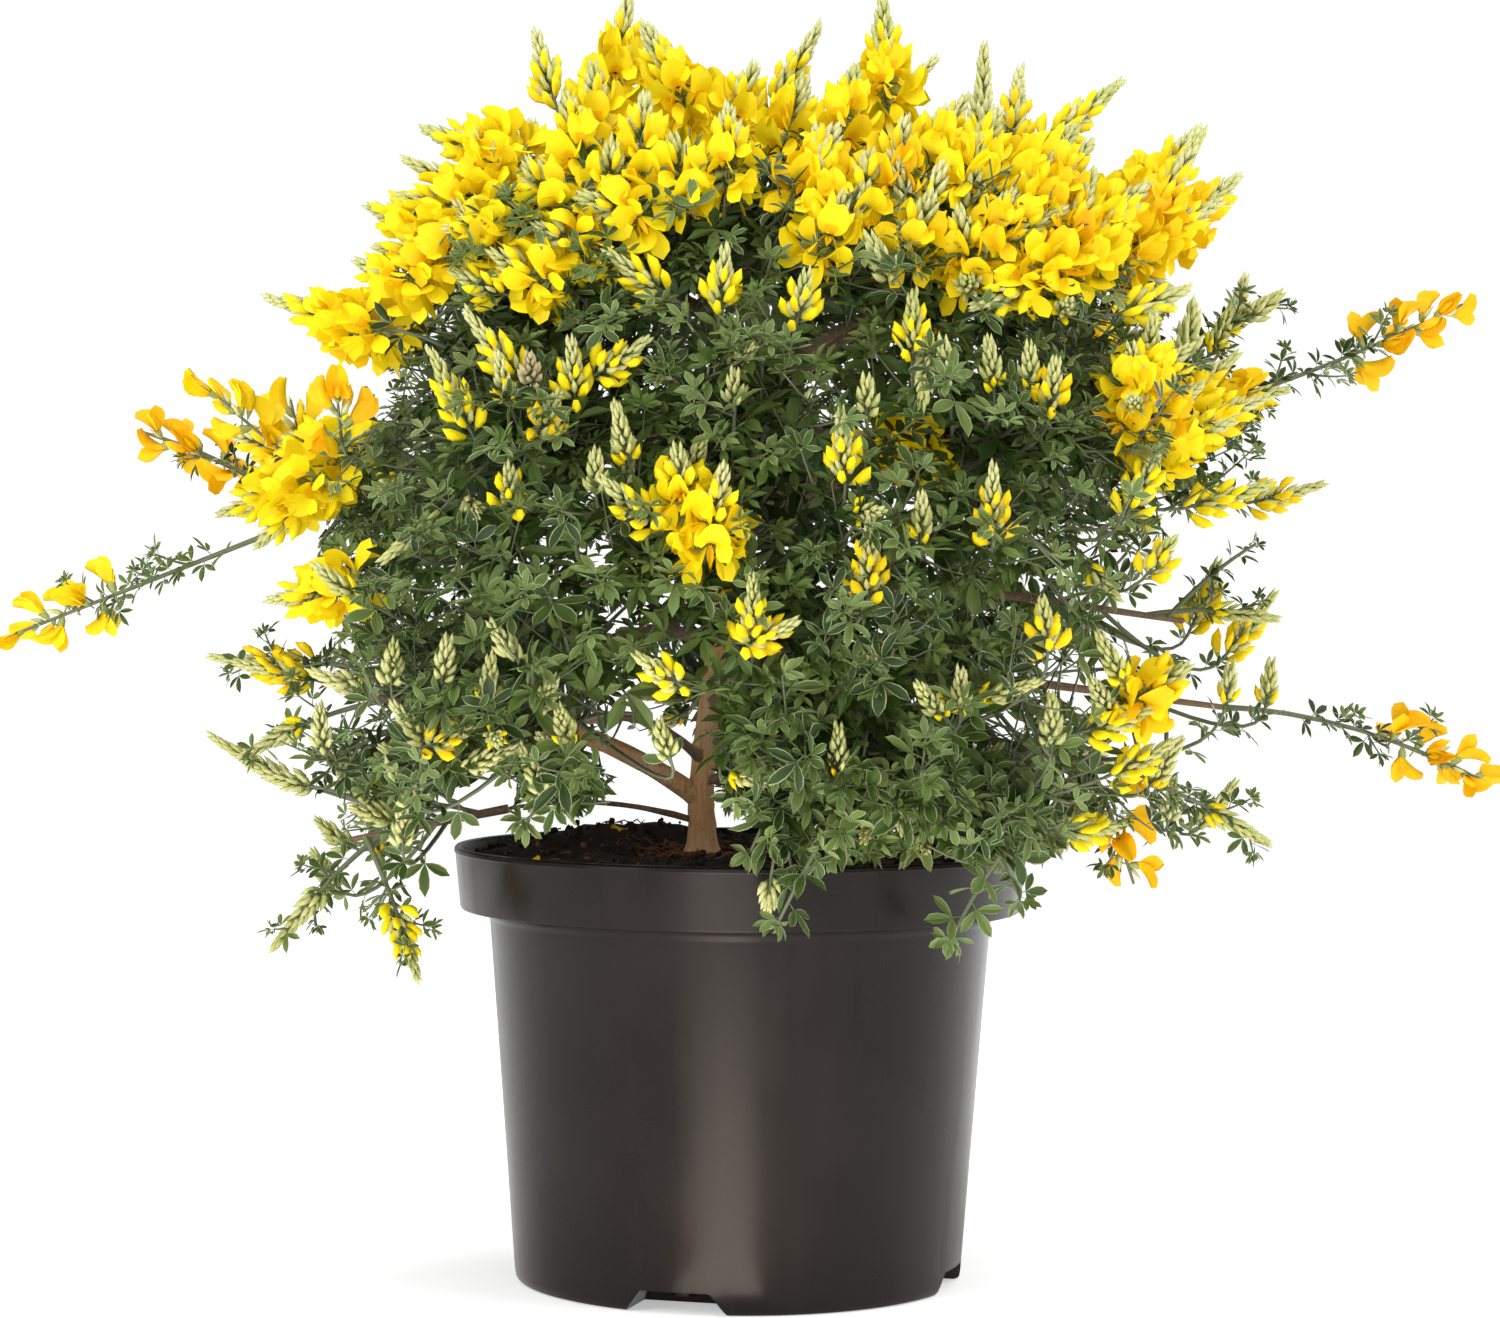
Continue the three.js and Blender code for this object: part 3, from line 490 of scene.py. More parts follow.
@dataclass(frozen=True)
class Crown:
    """The crown as a whole and the spaces that its twigs and leaves keep to."""

    centre: Point = (0, 0, 300)
    half_width: float = 212
    half_depth: float = 202
    rise: float = 194
    drop: float = 150
    roundness: float = 2.5
    front_share: float = 0.94
    front_least: float = -20
    pot_height: float = 170
    pot_radius: float = 112.5
    pot_inner_radius: float = 108
    pot_clear: float = 2.5
    soil_height: float = 165
    gap_centre: Pair = (-26, -60)
    gap_radius: float = 18
    gap_length: float = 200
    gap_top: float = 212
    outline: Outline = Outline()

    def depth(self, points: Array, beyond: float = 0) -> Array:
        """How far out points lie, from 0 at the centre to 1 on the crown's surface.

        Args:
            points: the points as rows.
            beyond: how far the surface is moved out.

        Returns:
            A number for each point.
        """
        offset = points - point(self.centre)
        height = np.where(offset[:, 2] > 0, self.rise, self.drop) + beyond
        parts = np.abs(np.stack((offset[:, 0] / (self.half_width + beyond),
                                 offset[:, 1] / (self.half_depth + beyond),
                                 offset[:, 2] / height)))
        return (parts**self.roundness).sum(0) ** (1 / self.roundness)

    def front(self, x: float, z: float, sink: float) -> Array:
        """The point on the crown's front that the eye places at an x and z.

        Args:
            x: the place across.
            z: the height.
            sink: how far under the surface the point lies.

        Returns:
            The point.
        """
        spot = point((x, 0, z))
        for _ in range(4):  # the eye's line reaches the surface a little closer in each round
            height = self.rise if spot[2] > self.centre[2] else self.drop
            parts = abs(spot[0] / self.half_width) ** self.roundness
            parts += abs((spot[2] - self.centre[2]) / height) ** self.roundness
            deep = max(1 - parts, 0) ** (1 / self.roundness) * self.half_depth
            spot = self.outline.placed(x, z, min(sink - deep * self.front_share, self.front_least))
        return spot

    def room(self, points: Array, own: int) -> Array:
        """How far points are from the border to the next mass's space.

        Args:
            points: the points as rows.
            own: the number of the mass that they belong to.

        Returns:
            The distance for each point, below zero in another mass's space.
        """
        others = np.delete(np.arange(len(MASSES)), own)
        apart = np.linalg.norm(HEARTS[others] - HEARTS[own], axis=1)
        squares = ((points[:, None, :] - HEARTS[None]) ** 2).sum(-1)
        return ((squares[:, others] - squares[:, own : own + 1]) / 2 / apart).min(1)

    def clear_of_pot(self, points: Array) -> Array:
        """Whether points are over the pot's rim, outside it, or inside it and over the soil."""
        radius, height = np.hypot(points[:, 0], points[:, 1]), points[:, 2] - self.pot_clear
        return ((height > self.pot_height) | (radius > self.pot_radius + self.pot_clear)
                | (radius < self.pot_inner_radius - self.pot_clear) & (height > self.soil_height))

    def clear(self, points: Array) -> Array:
        """Whether points are clear of the pot and of the bare space before the trunk's foot."""
        off = np.abs(points[:, :2] - self.gap_centre) > (self.gap_radius, self.gap_length / 2)
        return self.clear_of_pot(points) & ((points[:, 2] > self.gap_top) | off.any(1))


class Limbs:
    """Trunk, boughs and stems: where they run and how thick they are."""

    TRUNK_AXIS = ((-15, 0, 165.3), (-15.5, 0, 195), (-10, -1, 245), (-2, 0, 310), (4, 1, 365),
                  (0, 4, 402))
    TRUNK_RADII = (6.4, 3.1)
    TRUNK_MIDDLE = 0.3
    FLARE = 4.2
    FLARE_RATE = 2.2 / 16
    BOUGH_RADII = (2.9, 1.8)
    STEM_RADII = (1.8, 1.1)
    STEM_SHARE = 0.62
    BOUGH_RISE = 0.1
    STEM_OVERSHOOT = 12
    CLEAR = 1.0

    def __init__(self) -> None:
        """Lay the trunk first, then each bough from it and each stem from its bough."""
        self.trunk = Spline(self.TRUNK_AXIS)
        self.boughs = [self._bough(mass) for mass in MASSES]
        self.stems = [self._stem(mass, bough) for mass, bough in zip(MASSES, self.boughs)]
        runs = [(self.trunk, self.trunk_radius, 12)]
        runs += [(bough, self.bough_radius, 6) for bough in self.boughs if bough]
        starts, ends, radii = [], [], []
        for curve, radius_at, count in runs:
            points = curve.points(count)
            starts.append(points[:-1])
            ends.append(points[1:])
            radii += [radius_at(step / count) for step in range(count)]
        self.starts, self.spans = np.concatenate(starts), np.concatenate(ends)
        self.spans -= self.starts
        self.radii = np.array(radii)

    def trunk_radius(self, share: float) -> float:
        """The trunk's radius at a share of its height, flared at the foot."""
        height = share * (self.TRUNK_AXIS[-1][2] - self.TRUNK_AXIS[0][2])
        return mix(*self.TRUNK_RADII, share) + self.FLARE * math.exp(-self.FLARE_RATE * height)

    def bough_radius(self, share: float) -> float:
        """The radius of a bough at a share of its length."""
        return mix(*self.BOUGH_RADII, share)

    def trunk_share(self, height: float) -> float:
        """The share of the trunk's line that reaches a height.

        Args:
            height: the height.

        Returns:
            The share of the line where the trunk is that high.
        """
        low, high = 0.0, 1.0
        for _ in range(30):
            middle = (low + high) / 2
            if self.trunk.at(middle)[2] < height:
                low = middle
            else:
                high = middle
        return low

    def _bough(self, mass: Mass) -> Bend | None:
        """Lay the bough that carries a mass.

        Args:
            mass: the mass.

        Returns:
            The bough's line, or none where the trunk's tip carries the mass.
        """
        if mass.leaves is None:
            return None
        heart = point(mass.heart)
        start = self.trunk.at(self.trunk_share(mass.leaves))
        end = mix(start, heart, self.STEM_SHARE)
        length = np.linalg.norm(end - start)
        end = end + UP * self.BOUGH_RISE * length
        return Bend(start, end - unit(heart - end) * length / 2, end)

    def _stem(self, mass: Mass, bough: Bend | None) -> Bend:
        """Lay the stem of a mass, straight on from its bough or from the trunk.

        Args:
            mass: the mass.
            bough: its bough, if it has one.

        Returns:
            The stem's line.
        """
        carrier = bough or self.trunk
        along = carrier.tangent(1)
        start = carrier.at(1) + along * GAP
        length = np.linalg.norm(point(mass.heart) - start) + self.STEM_OVERSHOOT
        return arch(start, start + along * length, 0)

    def clear(self, points: Array, margin: float) -> Array:
        """Whether points are clear of the trunk and of all boughs.

        Args:
            points: the points as rows.
            margin: the distance to keep.

        Returns:
            True or false for each.
        """
        offset = points[:, None, :] - self.starts[None]
        share = (offset * self.spans).sum(-1) / (self.spans**2).sum(-1)
        nearest = self.spans * np.clip(share, 0, 1)[..., None]
        apart = np.linalg.norm(offset - nearest, axis=-1)
        return (apart > self.radii + margin + self.CLEAR).all(1)


@dataclass
class Shoot:
    """A twig or a finer shoot: its line, its mass, its girth and what it ends in."""

    curve: Curve
    own: int
    end: End
    radii: Pair
    lead: bool = False
    fine: bool = False
    spike: Curve | None = None


@dataclass
class Growth:
    """The source's rule for twigs, carried on to finer twigs and to side shoots."""

    limbs: Limbs
    crown: Crown
    shoots: list[Shoot] = field(default_factory=list)
    # the source's own twigs
    twig_seed: int = 307
    twig_count: int = 6
    twig_radii: Pair = (1.35, 0.5)
    directions: int = 26
    inward: float = -0.25
    margin: float = 9
    shortest: float = 26
    short_share: float = 0.82
    reach_step: int = 4
    reach_limit: int = 200
    rise: float = 0.1
    root_top: float = 0.92
    root_step: float = 0.11
    lead_radii: Pair = (1.25, 0.6)
    lead_least: float = 0.4
    lead_share: float = 0.9
    # finer twigs: how far back their mass lies at most, how far they turn inwards, their number
    fine_seed: int = 5003
    fine_kinds: tuple[tuple[float, float, int], ...] = (
        (-70, -0.25, 9), (20, -0.9, 17), (math.inf, -0.9, 19))
    fine_directions: int = 64
    fine_margin: float = 2
    fine_radii: Pair = (1.0, 0.45)
    fine_roots: Pair = (0.9, 0.1)
    # the tips seen in front
    seen_radii: Pair = (1.0, 0.6)
    seen_roots: Pair = (0.85, 0.35)
    seen_pull: float = 0.4
    seen_lift: float = 0.2
    sinks: tuple[float, float, float] = (14, 8, 1)
    steepest: float = 0.5
    hangs_below: float = 176
    rim_clear: float = 9
    edge_from: float = 0.77
    edge_width: float = 0.12
    edge_spread: float = 1.35
    # side shoots
    side_spacing: float = 13.5
    side_angle: float = math.radians(50)
    side_lengths: Pair = (44, 20)
    side_stretch: Pair = (0.7, 1.15)
    side_radii: Pair = (0.62, 0.35)
    side_room: float = -4
    side_beyond: float = 7
    side_lift: float = 0.16
    side_tries: int = 4
    # what they end in
    seen_from: float = -5
    blooms_from: float = 250
    ends_from: float = 0.8
    side_ends: Pair = (0.86, 1.05)

    def allowed(self, points: Array, own: int, room: float, thickness: float) -> bool:
        """Whether all points keep their room in a mass's space, and are clear of the rest."""
        free = self.crown.room(points, own) > room + thickness
        return bool(free.all() and self.crown.clear(points).all()
                    and self.limbs.clear(points, thickness).all())

    def reach(self, own: int, directions: Array, margin: float) -> Array:
        """How far twigs may run from a mass's heart, each in its direction.

        Args:
            own: the number of the mass.
            directions: the directions as rows.
            margin: the distance kept to the border of the mass's space.

        Returns:
            The reach for each direction.
        """
        steps = np.arange(self.reach_step, self.reach_limit, self.reach_step)
        grid = HEARTS[own] + directions[:, None, :] * steps[None, :, None]
        flat = grid.reshape(-1, 3)
        good = (self.crown.room(flat, own) >= margin) & (self.crown.depth(flat) < 1)
        if margin < self.margin:
            good &= self.crown.outline.holds(flat)
        good = (good & self.crown.clear_of_pot(flat)).reshape(len(directions), -1)
        return np.cumprod(good, axis=1).sum(1) * self.reach_step

    def spread(self, own: int, count: int, margin: float, inward: float,
               random: Seeded) -> list[tuple[Array, float]]:
        """Directions from a mass's heart, with the reach of a twig along each.

        Args:
            own: the number of the mass.
            count: the number of directions.
            margin: the distance kept to the border of the mass's space.
            inward: how far they may turn back to the trunk, as a cosine.
            random: the numbers to draw from.

        Returns:
            Pairs of a direction and a reach.
        """
        outward = unit(HEARTS[own] - self.limbs.trunk.at(Limbs.TRUNK_MIDDLE))
        turn = random.angle()
        order = np.arange(count)
        height = 1 - 2 * (order + 0.5) / count
        beside = np.sqrt(1 - height**2)
        angle = turn + order * GOLDEN_ANGLE
        ways = np.stack((beside * np.cos(angle), beside * np.sin(angle), height), 1)
        reaches = self.reach(own, ways, margin)
        parts = [mix(self.short_share, 1, random()) for _ in order]
        return [(way, reach * part) for way, reach, part in zip(ways, reaches, parts)
                if way @ outward > inward and reach * part > self.shortest]

    def twigs(self, own: int) -> None:
        """Grow the twigs of a mass: leads, the source's others, those seen in front, finer ones.

        Args:
            own: the number of the mass.
        """
        random, fine = Seeded(self.twig_seed + own), Seeded(self.fine_seed + own)
        taken = self.lead_twigs(own)
        self.first_twigs(own, taken, random, fine)
        self.seen_twigs(own, taken)
        self.fine_twigs(own, taken, fine)

    def first_root(self, own: int, order: int) -> Array:
        """Where one of the source's twigs leaves the stem of its mass."""
        return self.limbs.stems[own].at(self.root_top - self.root_step * order)

    def lead_twigs(self, own: int) -> list[Array]:
        """Grow the twigs of a mass that the source leads to places of their own.

        Args:
            own: the number of the mass.

        Returns:
            The directions that they take.
        """
        mass, taken = MASSES[own], []
        for order, tip in enumerate((*mass.racemes, *mass.shoots)):
            usual = FULL if order < len(mass.racemes) else BUD
            end, seen, rise = LEAD_ENDS.get(tip, (usual, tip, self.rise))
            curve = arch(self.first_root(own, order), point(seen), rise)
            if mass.upper:
                held = max(self.share_inside(curve), self.lead_least) * self.lead_share
                curve = Bend(curve.start, mix(curve.start, curve.middle, held), curve.at(held))
            self.shoots.append(Shoot(curve, own, end, self.lead_radii, lead=not mass.upper))
            taken.append(unit(point(tip) - HEARTS[own]))
        return taken

    def first_twigs(self, own: int, taken: list[Array], random: Seeded, fine: Seeded) -> None:
        """Grow the source's other twigs of a mass, each where the rest leave most room.

        Args:
            own: the number of the mass.
            taken: the directions that have a twig, to which these are added.
            random: the source's random numbers for the mass.
            fine: the random numbers for what the twigs end in.
        """
        found = self.spread(own, self.directions, self.margin, self.inward, random)
        count = len(taken)
        while count < self.twig_count and found:
            way, reach = self.furthest(found, taken)
            curve = arch(self.first_root(own, count), HEARTS[own] + way * reach, 0)
            if not self.allowed(curve.points(16, 0.2), own, GAP, self.twig_radii[0]):
                continue
            taken.append(way)
            count += 1
            blooms = random() < MASSES[own].bloom
            part = self.share_inside(curve)
            if part * curve.length() > self.shortest:
                tip = curve.at(part)
                end = self.ending(own, blooms, tip, fine)
                line = arch(curve.start, tip, self.rise / 2)
                self.shoots.append(Shoot(line, own, end, self.twig_radii))

    def fine_twigs(self, own: int, taken: list[Array], fine: Seeded) -> None:
        """Fill the space of a mass with finer twigs, most of them at the sides and the back.

        Args:
            own: the number of the mass.
            taken: the directions that have a twig, to which these are added.
            fine: the random numbers to draw from.
        """
        mass, stem, count = MASSES[own], self.limbs.stems[own], 0
        inward, most = next(kind[1:] for kind in self.fine_kinds if mass.heart[1] < kind[0])
        found = self.spread(own, self.fine_directions, self.fine_margin, inward, fine)
        while count < most and found:
            way, reach = self.furthest(found, taken)
            tip = HEARTS[own] + way * reach
            curve = arch(stem.at(mix(*self.fine_roots, strewn(count))), tip, self.rise / 2)
            if self.allowed(curve.points(8, 0.25), own, 0, self.fine_radii[0]):
                taken.append(way)
                end = self.ending(own, fine() < mass.bloom, tip, fine)
                self.shoots.append(Shoot(curve, own, end, self.fine_radii))
                count += 1

    def furthest(self, found: list, taken: list[Array]) -> tuple[Array, float]:
        """Take out the direction that lies furthest from those that are taken.

        Args:
            found: pairs of a direction and a reach, one of which is taken out.
            taken: the directions that have a twig.

        Returns:
            The direction and its reach.
        """
        def merit(at: int) -> float:
            """How far a direction is from the others, and how far it reaches."""
            closest = max([-1.0, *(float(other @ found[at][0]) for other in taken)])
            return (1 - closest) * math.sqrt(found[at][1])

        return found.pop(max(range(len(found)), key=lambda at: (merit(at), -at)))

    def share_inside(self, curve: Curve) -> float:
        """How much of a line lies inside the crown's outline.

        Args:
            curve: the line.

        Returns:
            The share of it up to where it leaves the outline.
        """
        shares = np.linspace(0.3, 1, 15)
        held = self.crown.outline.holds(np.array([curve.at(share) for share in shares]))
        return float(shares[int(np.cumprod(held).sum()) - 1]) if held[0] else 0.0

    def seen_twigs(self, own: int, taken: list[Array]) -> None:
        """Grow the twigs of a mass that end in the racemes, buds and tips seen in front.

        Args:
            own: the number of the mass.
            taken: the directions that have a twig, to which these are added.
        """
        stem = self.limbs.stems[own]
        for order, (*ends, end) in enumerate(SEEN_TIPS):
            foot, tip = self.seated(point(ends[:2]), point(ends[2:]), order)
            if int(np.linalg.norm(HEARTS - foot, axis=1).argmin()) == own:
                root = stem.at(mix(*self.seen_roots, strewn(order)))
                back = np.linalg.norm(foot - root) * self.seen_pull
                bend = foot - unit(tip - foot) * back + UP * back * self.seen_lift
                spike = Bend(foot, (foot + tip) / 2 + point((0, -2, -1)), tip)
                self.shoots.append(
                    Shoot(Bend(root, bend, foot), own, end, self.seen_radii, spike=spike))
                taken.append(unit(tip - HEARTS[own]))

    def seated(self, foot: Array, tip: Array, order: int) -> tuple[Array, Array]:
        """Where a raceme stands that the eye sees at a foot and a tip.

        Args:
            foot: the x and z of its foot on the plane through the trunk.
            tip: the x and z of its tip there.
            order: its number in the row, which sets it a little further in or out.

        Returns:
            Its foot and its tip on the crown's front.
        """
        crown = self.crown
        half_way = (foot + tip) / 2
        foot_sink, middle_sink, tip_sink = self.sinks
        out = max(abs(half_way[0]) / crown.half_width, (half_way[1] - crown.centre[2]) / crown.rise)
        edge = within((out - self.edge_from) / self.edge_width, 0, 1)
        middle = crown.front(*half_way, middle_sink)[1]
        middle *= 1 - edge * self.edge_spread * strewn(order)
        if half_way[1] < self.hangs_below:
            over_rim = max((crown.pot_radius + self.rim_clear) ** 2 - half_way[0] ** 2, 0) ** 0.5
            middle, edge = min(middle, -over_rim), 1
        slope = crown.front(*tip, tip_sink)[1] - crown.front(*foot, foot_sink)[1]
        most = np.linalg.norm(tip - foot) * self.steepest
        slope = within(slope * (1 - edge), -most, most)
        return (crown.outline.placed(*foot, middle - slope / 2),
                crown.outline.placed(*tip, middle + slope / 2))

    def ending(self, own: int, blooms: bool, tip: Array, random: Seeded) -> End:
        """What a twig ends in, by its mass and by how far out its tip lies.

        Args:
            own: the number of the mass.
            blooms: whether the twig is one that blooms.
            tip: the twig's tip.
            random: the numbers to draw from.

        Returns:
            The ending.
        """
        if self.crown.depth(tip[None])[0] < self.ends_from:
            return LEAF
        if tip[1] < self.seen_from:
            return random.chosen(((0.16, BUD), (0.84, LEAF)))
        if blooms and MASSES[own].upper:
            return random.chosen(((0.8, FULL), (0.12, OPENING), (0.08, BUD)))
        if blooms and MASSES[own].heart[2] > self.blooms_from:
            return random.chosen(((0.3, FULL), (0.3, OPENING), (0.4, BUD)))
        return random.chosen(((0.45, BUD), (0.55, LEAF)))

    def side_shoots(self, shoot: Shoot, random: Seeded) -> list[Shoot]:
        """Grow the side shoots of a twig, in a spiral, where they have room.

        Args:
            shoot: the twig that carries them.
            random: the numbers to draw from.

        Returns:
            The side shoots.
        """
        if shoot.lead and shoot.end is LEAF:
            return []
        curve, length = shoot.curve, shoot.curve.length()
        last = 0.78 if shoot.end in (FULL, LOOSE) and not shoot.spike else 0.95
        first = 0.42 if shoot.lead else 0.3
        turn, grown = random.angle(), []
        for share in np.arange(first, last, self.side_spacing / length):
            start, along = curve.at(share), curve.tangent(share)
            reach = mix(*self.side_lengths, share) * random.between(*self.side_stretch)
            reach *= 0.5 if shoot.lead else 1
            for _ in range(self.side_tries):
                turn += GOLDEN_ANGLE
                side = across(along, turn)
                way = along * math.cos(self.side_angle) + side * math.sin(self.side_angle)
                middle = start + way * reach * 0.5
                end = start + way * reach + UP * reach * self.side_lift
                probe = np.array((middle, end))
                inside = shoot.lead or (self.crown.depth(probe, self.side_beyond).max() < 1
                                        and self.crown.outline.holds(probe).all())
                if inside and self.allowed(probe, shoot.own, self.side_room, 0.6):
                    kind = self.side_ending(shoot, end, random)
                    grown.append(Shoot(Bend(start, middle, end), shoot.own, kind,
                                       self.side_radii, shoot.lead, fine=True))
                    break
        return grown

    def side_ending(self, shoot: Shoot, tip: Array, random: Seeded) -> End:
        """What a side shoot ends in.

        Args:
            shoot: the twig that carries it.
            tip: the side shoot's tip.
            random: the numbers to draw from.

        Returns:
            The ending.
        """
        mass, outer = MASSES[shoot.own], self.crown.depth(tip[None])[0]
        least, most = self.side_ends
        if outer < least or shoot.lead and outer > most:
            return LEAF
        if tip[1] < self.seen_from:
            return random.chosen(((0.08, BUD), (0.92, LEAF)))
        if mass.upper and mass.bloom > 0.7:
            return random.chosen(((0.42, FULL), (0.14, OPENING), (0.14, BUD), (0.3, LEAF)))
        if mass.bloom > 0.5:
            return random.chosen(((0.16, FULL), (0.14, OPENING), (0.25, BUD), (0.45, LEAF)))
        return random.chosen(((0.02, OPENING), (0.2, BUD), (0.78, LEAF)))

    def grow(self) -> list[Shoot]:
        """Grow every twig of every mass and the side shoots on them.

        Returns:
            All the shoots.
        """
        for own in range(len(MASSES)):
            self.twigs(own)
        random = Seeded(self.fine_seed)
        for shoot in list(self.shoots):
            self.shoots += self.side_shoots(shoot, random)
        return self.shoots


# Modelling: primitives are shaped in edit mode, and what repeats is modelled once and copied


def only(*pieces: Piece) -> None:
    """Select some pieces and nothing else.

    Args:
        pieces: the pieces, the last of which is the active one.
    """
    bpy.ops.object.select_all(action="DESELECT")
    for piece in pieces:
        piece.select_set(True)
        bpy.context.view_layer.objects.active = piece


@contextmanager
def edit_mode() -> Iterator[None]:
    """Shape the active piece in edit mode.

    Yields:
        Nothing, once that mode is on.
    """
    bpy.ops.object.mode_set(mode="EDIT")
    yield
    bpy.ops.object.mode_set(mode="OBJECT")


def pick_all() -> None:
    """Select all of the mesh that is in edit mode."""
    bpy.ops.mesh.select_all(action="SELECT")


def face_outward() -> None:
    """Turn all faces of the mesh that is in edit mode outwards."""
    pick_all()
    bpy.ops.mesh.normals_make_consistent(inside=False)


def as_one(pieces: Sequence[Piece]) -> Piece:
    """Join pieces into one.

    Args:
        pieces: the pieces, the first of which takes up the others.

    Returns:
        The one.
    """
    only(*pieces[::-1])
    bpy.ops.object.join()
    return bpy.context.object


def lathed(name: str, sides: int, outline: Sequence[Pair]) -> Piece:
    """Model a closed round body, ring by ring.

    Args:
        name: its name.
        sides: the number of faces round it.
        outline: the radius and height of each ring, in the order in which they are drawn out.

    Returns:
        The body.
    """
    radius, height = outline[0]
    only()
    bpy.ops.mesh.primitive_circle_add(vertices=sides, radius=radius * METRE,
                                      fill_type="NGON", location=(0, 0, height * METRE))
    piece = bpy.context.object
    piece.name = piece.data.name = name
    with edit_mode():
        for radius_next, height_next in outline[1:]:
            share = radius_next / radius
            bpy.ops.mesh.extrude_region_move(
                TRANSFORM_OT_translate={"value": (0, 0, (height_next - height) * METRE)})
            bpy.ops.transform.resize(value=(share, share, 1),
                                     center_override=(0, 0, height_next * METRE))
            radius, height = radius_next, height_next
        face_outward()
    bpy.ops.object.transform_apply(location=True, rotation=True, scale=True)
    return piece


@dataclass(frozen=True)
class Pattern:
    """A small mesh that is copied many times: its points, its triangles and their parts."""

    points: Array
    faces: Array
    parts: Array

    @staticmethod
    def sheet(along: int, wide: int, place: Callable, part: Callable | int = 0) -> "Pattern":
        """Model a grid bent to shape, such as a petal, or a closed bud.

        Args:
            along: the number of faces along it.
            wide: the number of faces across it.
            place: gives x, y and z for shares along from 0 to 1 and across from -1 to 1.
            part: gives the part's number for the same shares, or is that number.

        Returns:
            The pattern.
        """
        only()
        bpy.ops.mesh.primitive_grid_add(x_subdivisions=along, y_subdivisions=wide, size=2)
        piece = bpy.context.object
        mesh = piece.data
        flat = np.array([corner.co for corner in mesh.vertices])
        shares = np.stack(((flat[:, 0] + 1) / 2, flat[:, 1]), 1)
        for face in mesh.polygons:
            middle = shares[list(face.vertices)].mean(0)
            face.material_index = part(*middle) if callable(part) else part
        bent = np.stack(np.broadcast_arrays(*place(shares[:, 0], shares[:, 1])), 1)
        mesh.vertices.foreach_set("co", bent.astype(np.float32).ravel())
        with edit_mode():
            pick_all()
            bpy.ops.mesh.remove_doubles(threshold=1e-4)
            bpy.ops.mesh.quads_convert_to_tris()
        points = np.array([corner.co for corner in mesh.vertices])
        faces = np.array([tuple(face.vertices) for face in mesh.polygons])
        parts = np.array([face.material_index for face in mesh.polygons])
        bpy.data.objects.remove(piece)
        bpy.data.meshes.remove(mesh)
        return Pattern(points, faces, parts)

    @staticmethod
    def round(along: int, wide: int, line: Callable, part: Callable | int = 0) -> "Pattern":
        """Model a round stalk or bud.

        Args:
            along: the number of faces along it.
            wide: the number of faces round it.
            line: gives x, the half width, the half height and the sag at shares along it.
            part: as for a sheet.

        Returns:
            The pattern.
        """
        def place(share: Array, turn: Array) -> tuple:
            """Place points at shares of its length and of half a turn each way."""
            x, half, high, sag = line(share)
            return x, half * np.sin(np.pi * turn), high * np.cos(np.pi * turn) - sag

        return Pattern.sheet(along, wide, place, part)

    @staticmethod
    def joined(patterns: Sequence["Pattern"]) -> "Pattern":
        """Join several patterns into one."""
        starts = np.cumsum([0, *(len(one.points) for one in patterns[:-1])])
        return Pattern(
            np.concatenate([one.points for one in patterns]),
            np.concatenate([one.faces + start for one, start in zip(patterns, starts)]),
            np.concatenate([one.parts for one in patterns]),
        )


class Part:
    """The numbers of a pattern's parts, which a palette gives a finish each."""

    BODY = 0
    EDGE = 1
    STALK = 2


@dataclass(frozen=True)
class LeafPattern:
    """A leaf of three leaflets on a stalk. Its leaflets are one unit long."""

    width: float = 0.37
    fold: float = 0.3
    curl: float = 0.14
    inner: float = 0.84
    stalk: float = 0.34
    stalk_radius: float = 0.022
    spread: float = math.radians(62)
    side_length: float = 0.86
    fine: bool = True

    def half(self, turn: float, length: float, hand: float) -> Pattern:
        """Model the half of a leaflet on one side of its vein.

        Args:
            turn: the angle of the leaflet to the leaf's line.
            length: the leaflet's length.
            hand: 1 or -1 for its side.

        Returns:
            The half, with its pale edge as a part of its own where the leaf is a fine one.
        """
        def place(along: Array, wide: Array) -> tuple:
            """Place points.

            Args:
                along: their shares of the length.
                wide: their shares of the width.

            Returns:
                Their x, y and z.
            """
            share = (wide + 1) / 2
            if self.fine:
                share = np.where(abs(wide) < 0.5, self.inner, share)
            full = self.width / 2 * length * np.sin(np.pi * along**1.25) ** 0.62
            out, side = along * length, hand * share * full
            height = self.fold * share * full - self.curl * length * along**2
            cos, sin = math.cos(turn), math.sin(turn)
            return self.stalk + out * cos - side * sin, out * sin + side * cos, height

        return Pattern.sheet(
            4 if self.fine else 3, 2 if self.fine else 1, place,
            lambda along, wide: Part.EDGE if self.fine and wide > 0 else Part.BODY)

    def model(self) -> Pattern:
        """Model the whole leaf."""
        leaflets = ((0, 1), (self.spread, self.side_length), (-self.spread, self.side_length))
        return Pattern.joined([
            *(self.half(turn, length, hand) for turn, length in leaflets for hand in (1, -1)),
            Pattern.round(1, 3 if self.fine else 2, lambda along: (
                along * self.stalk, self.stalk_radius, self.stalk_radius, 0), Part.STALK),
        ])


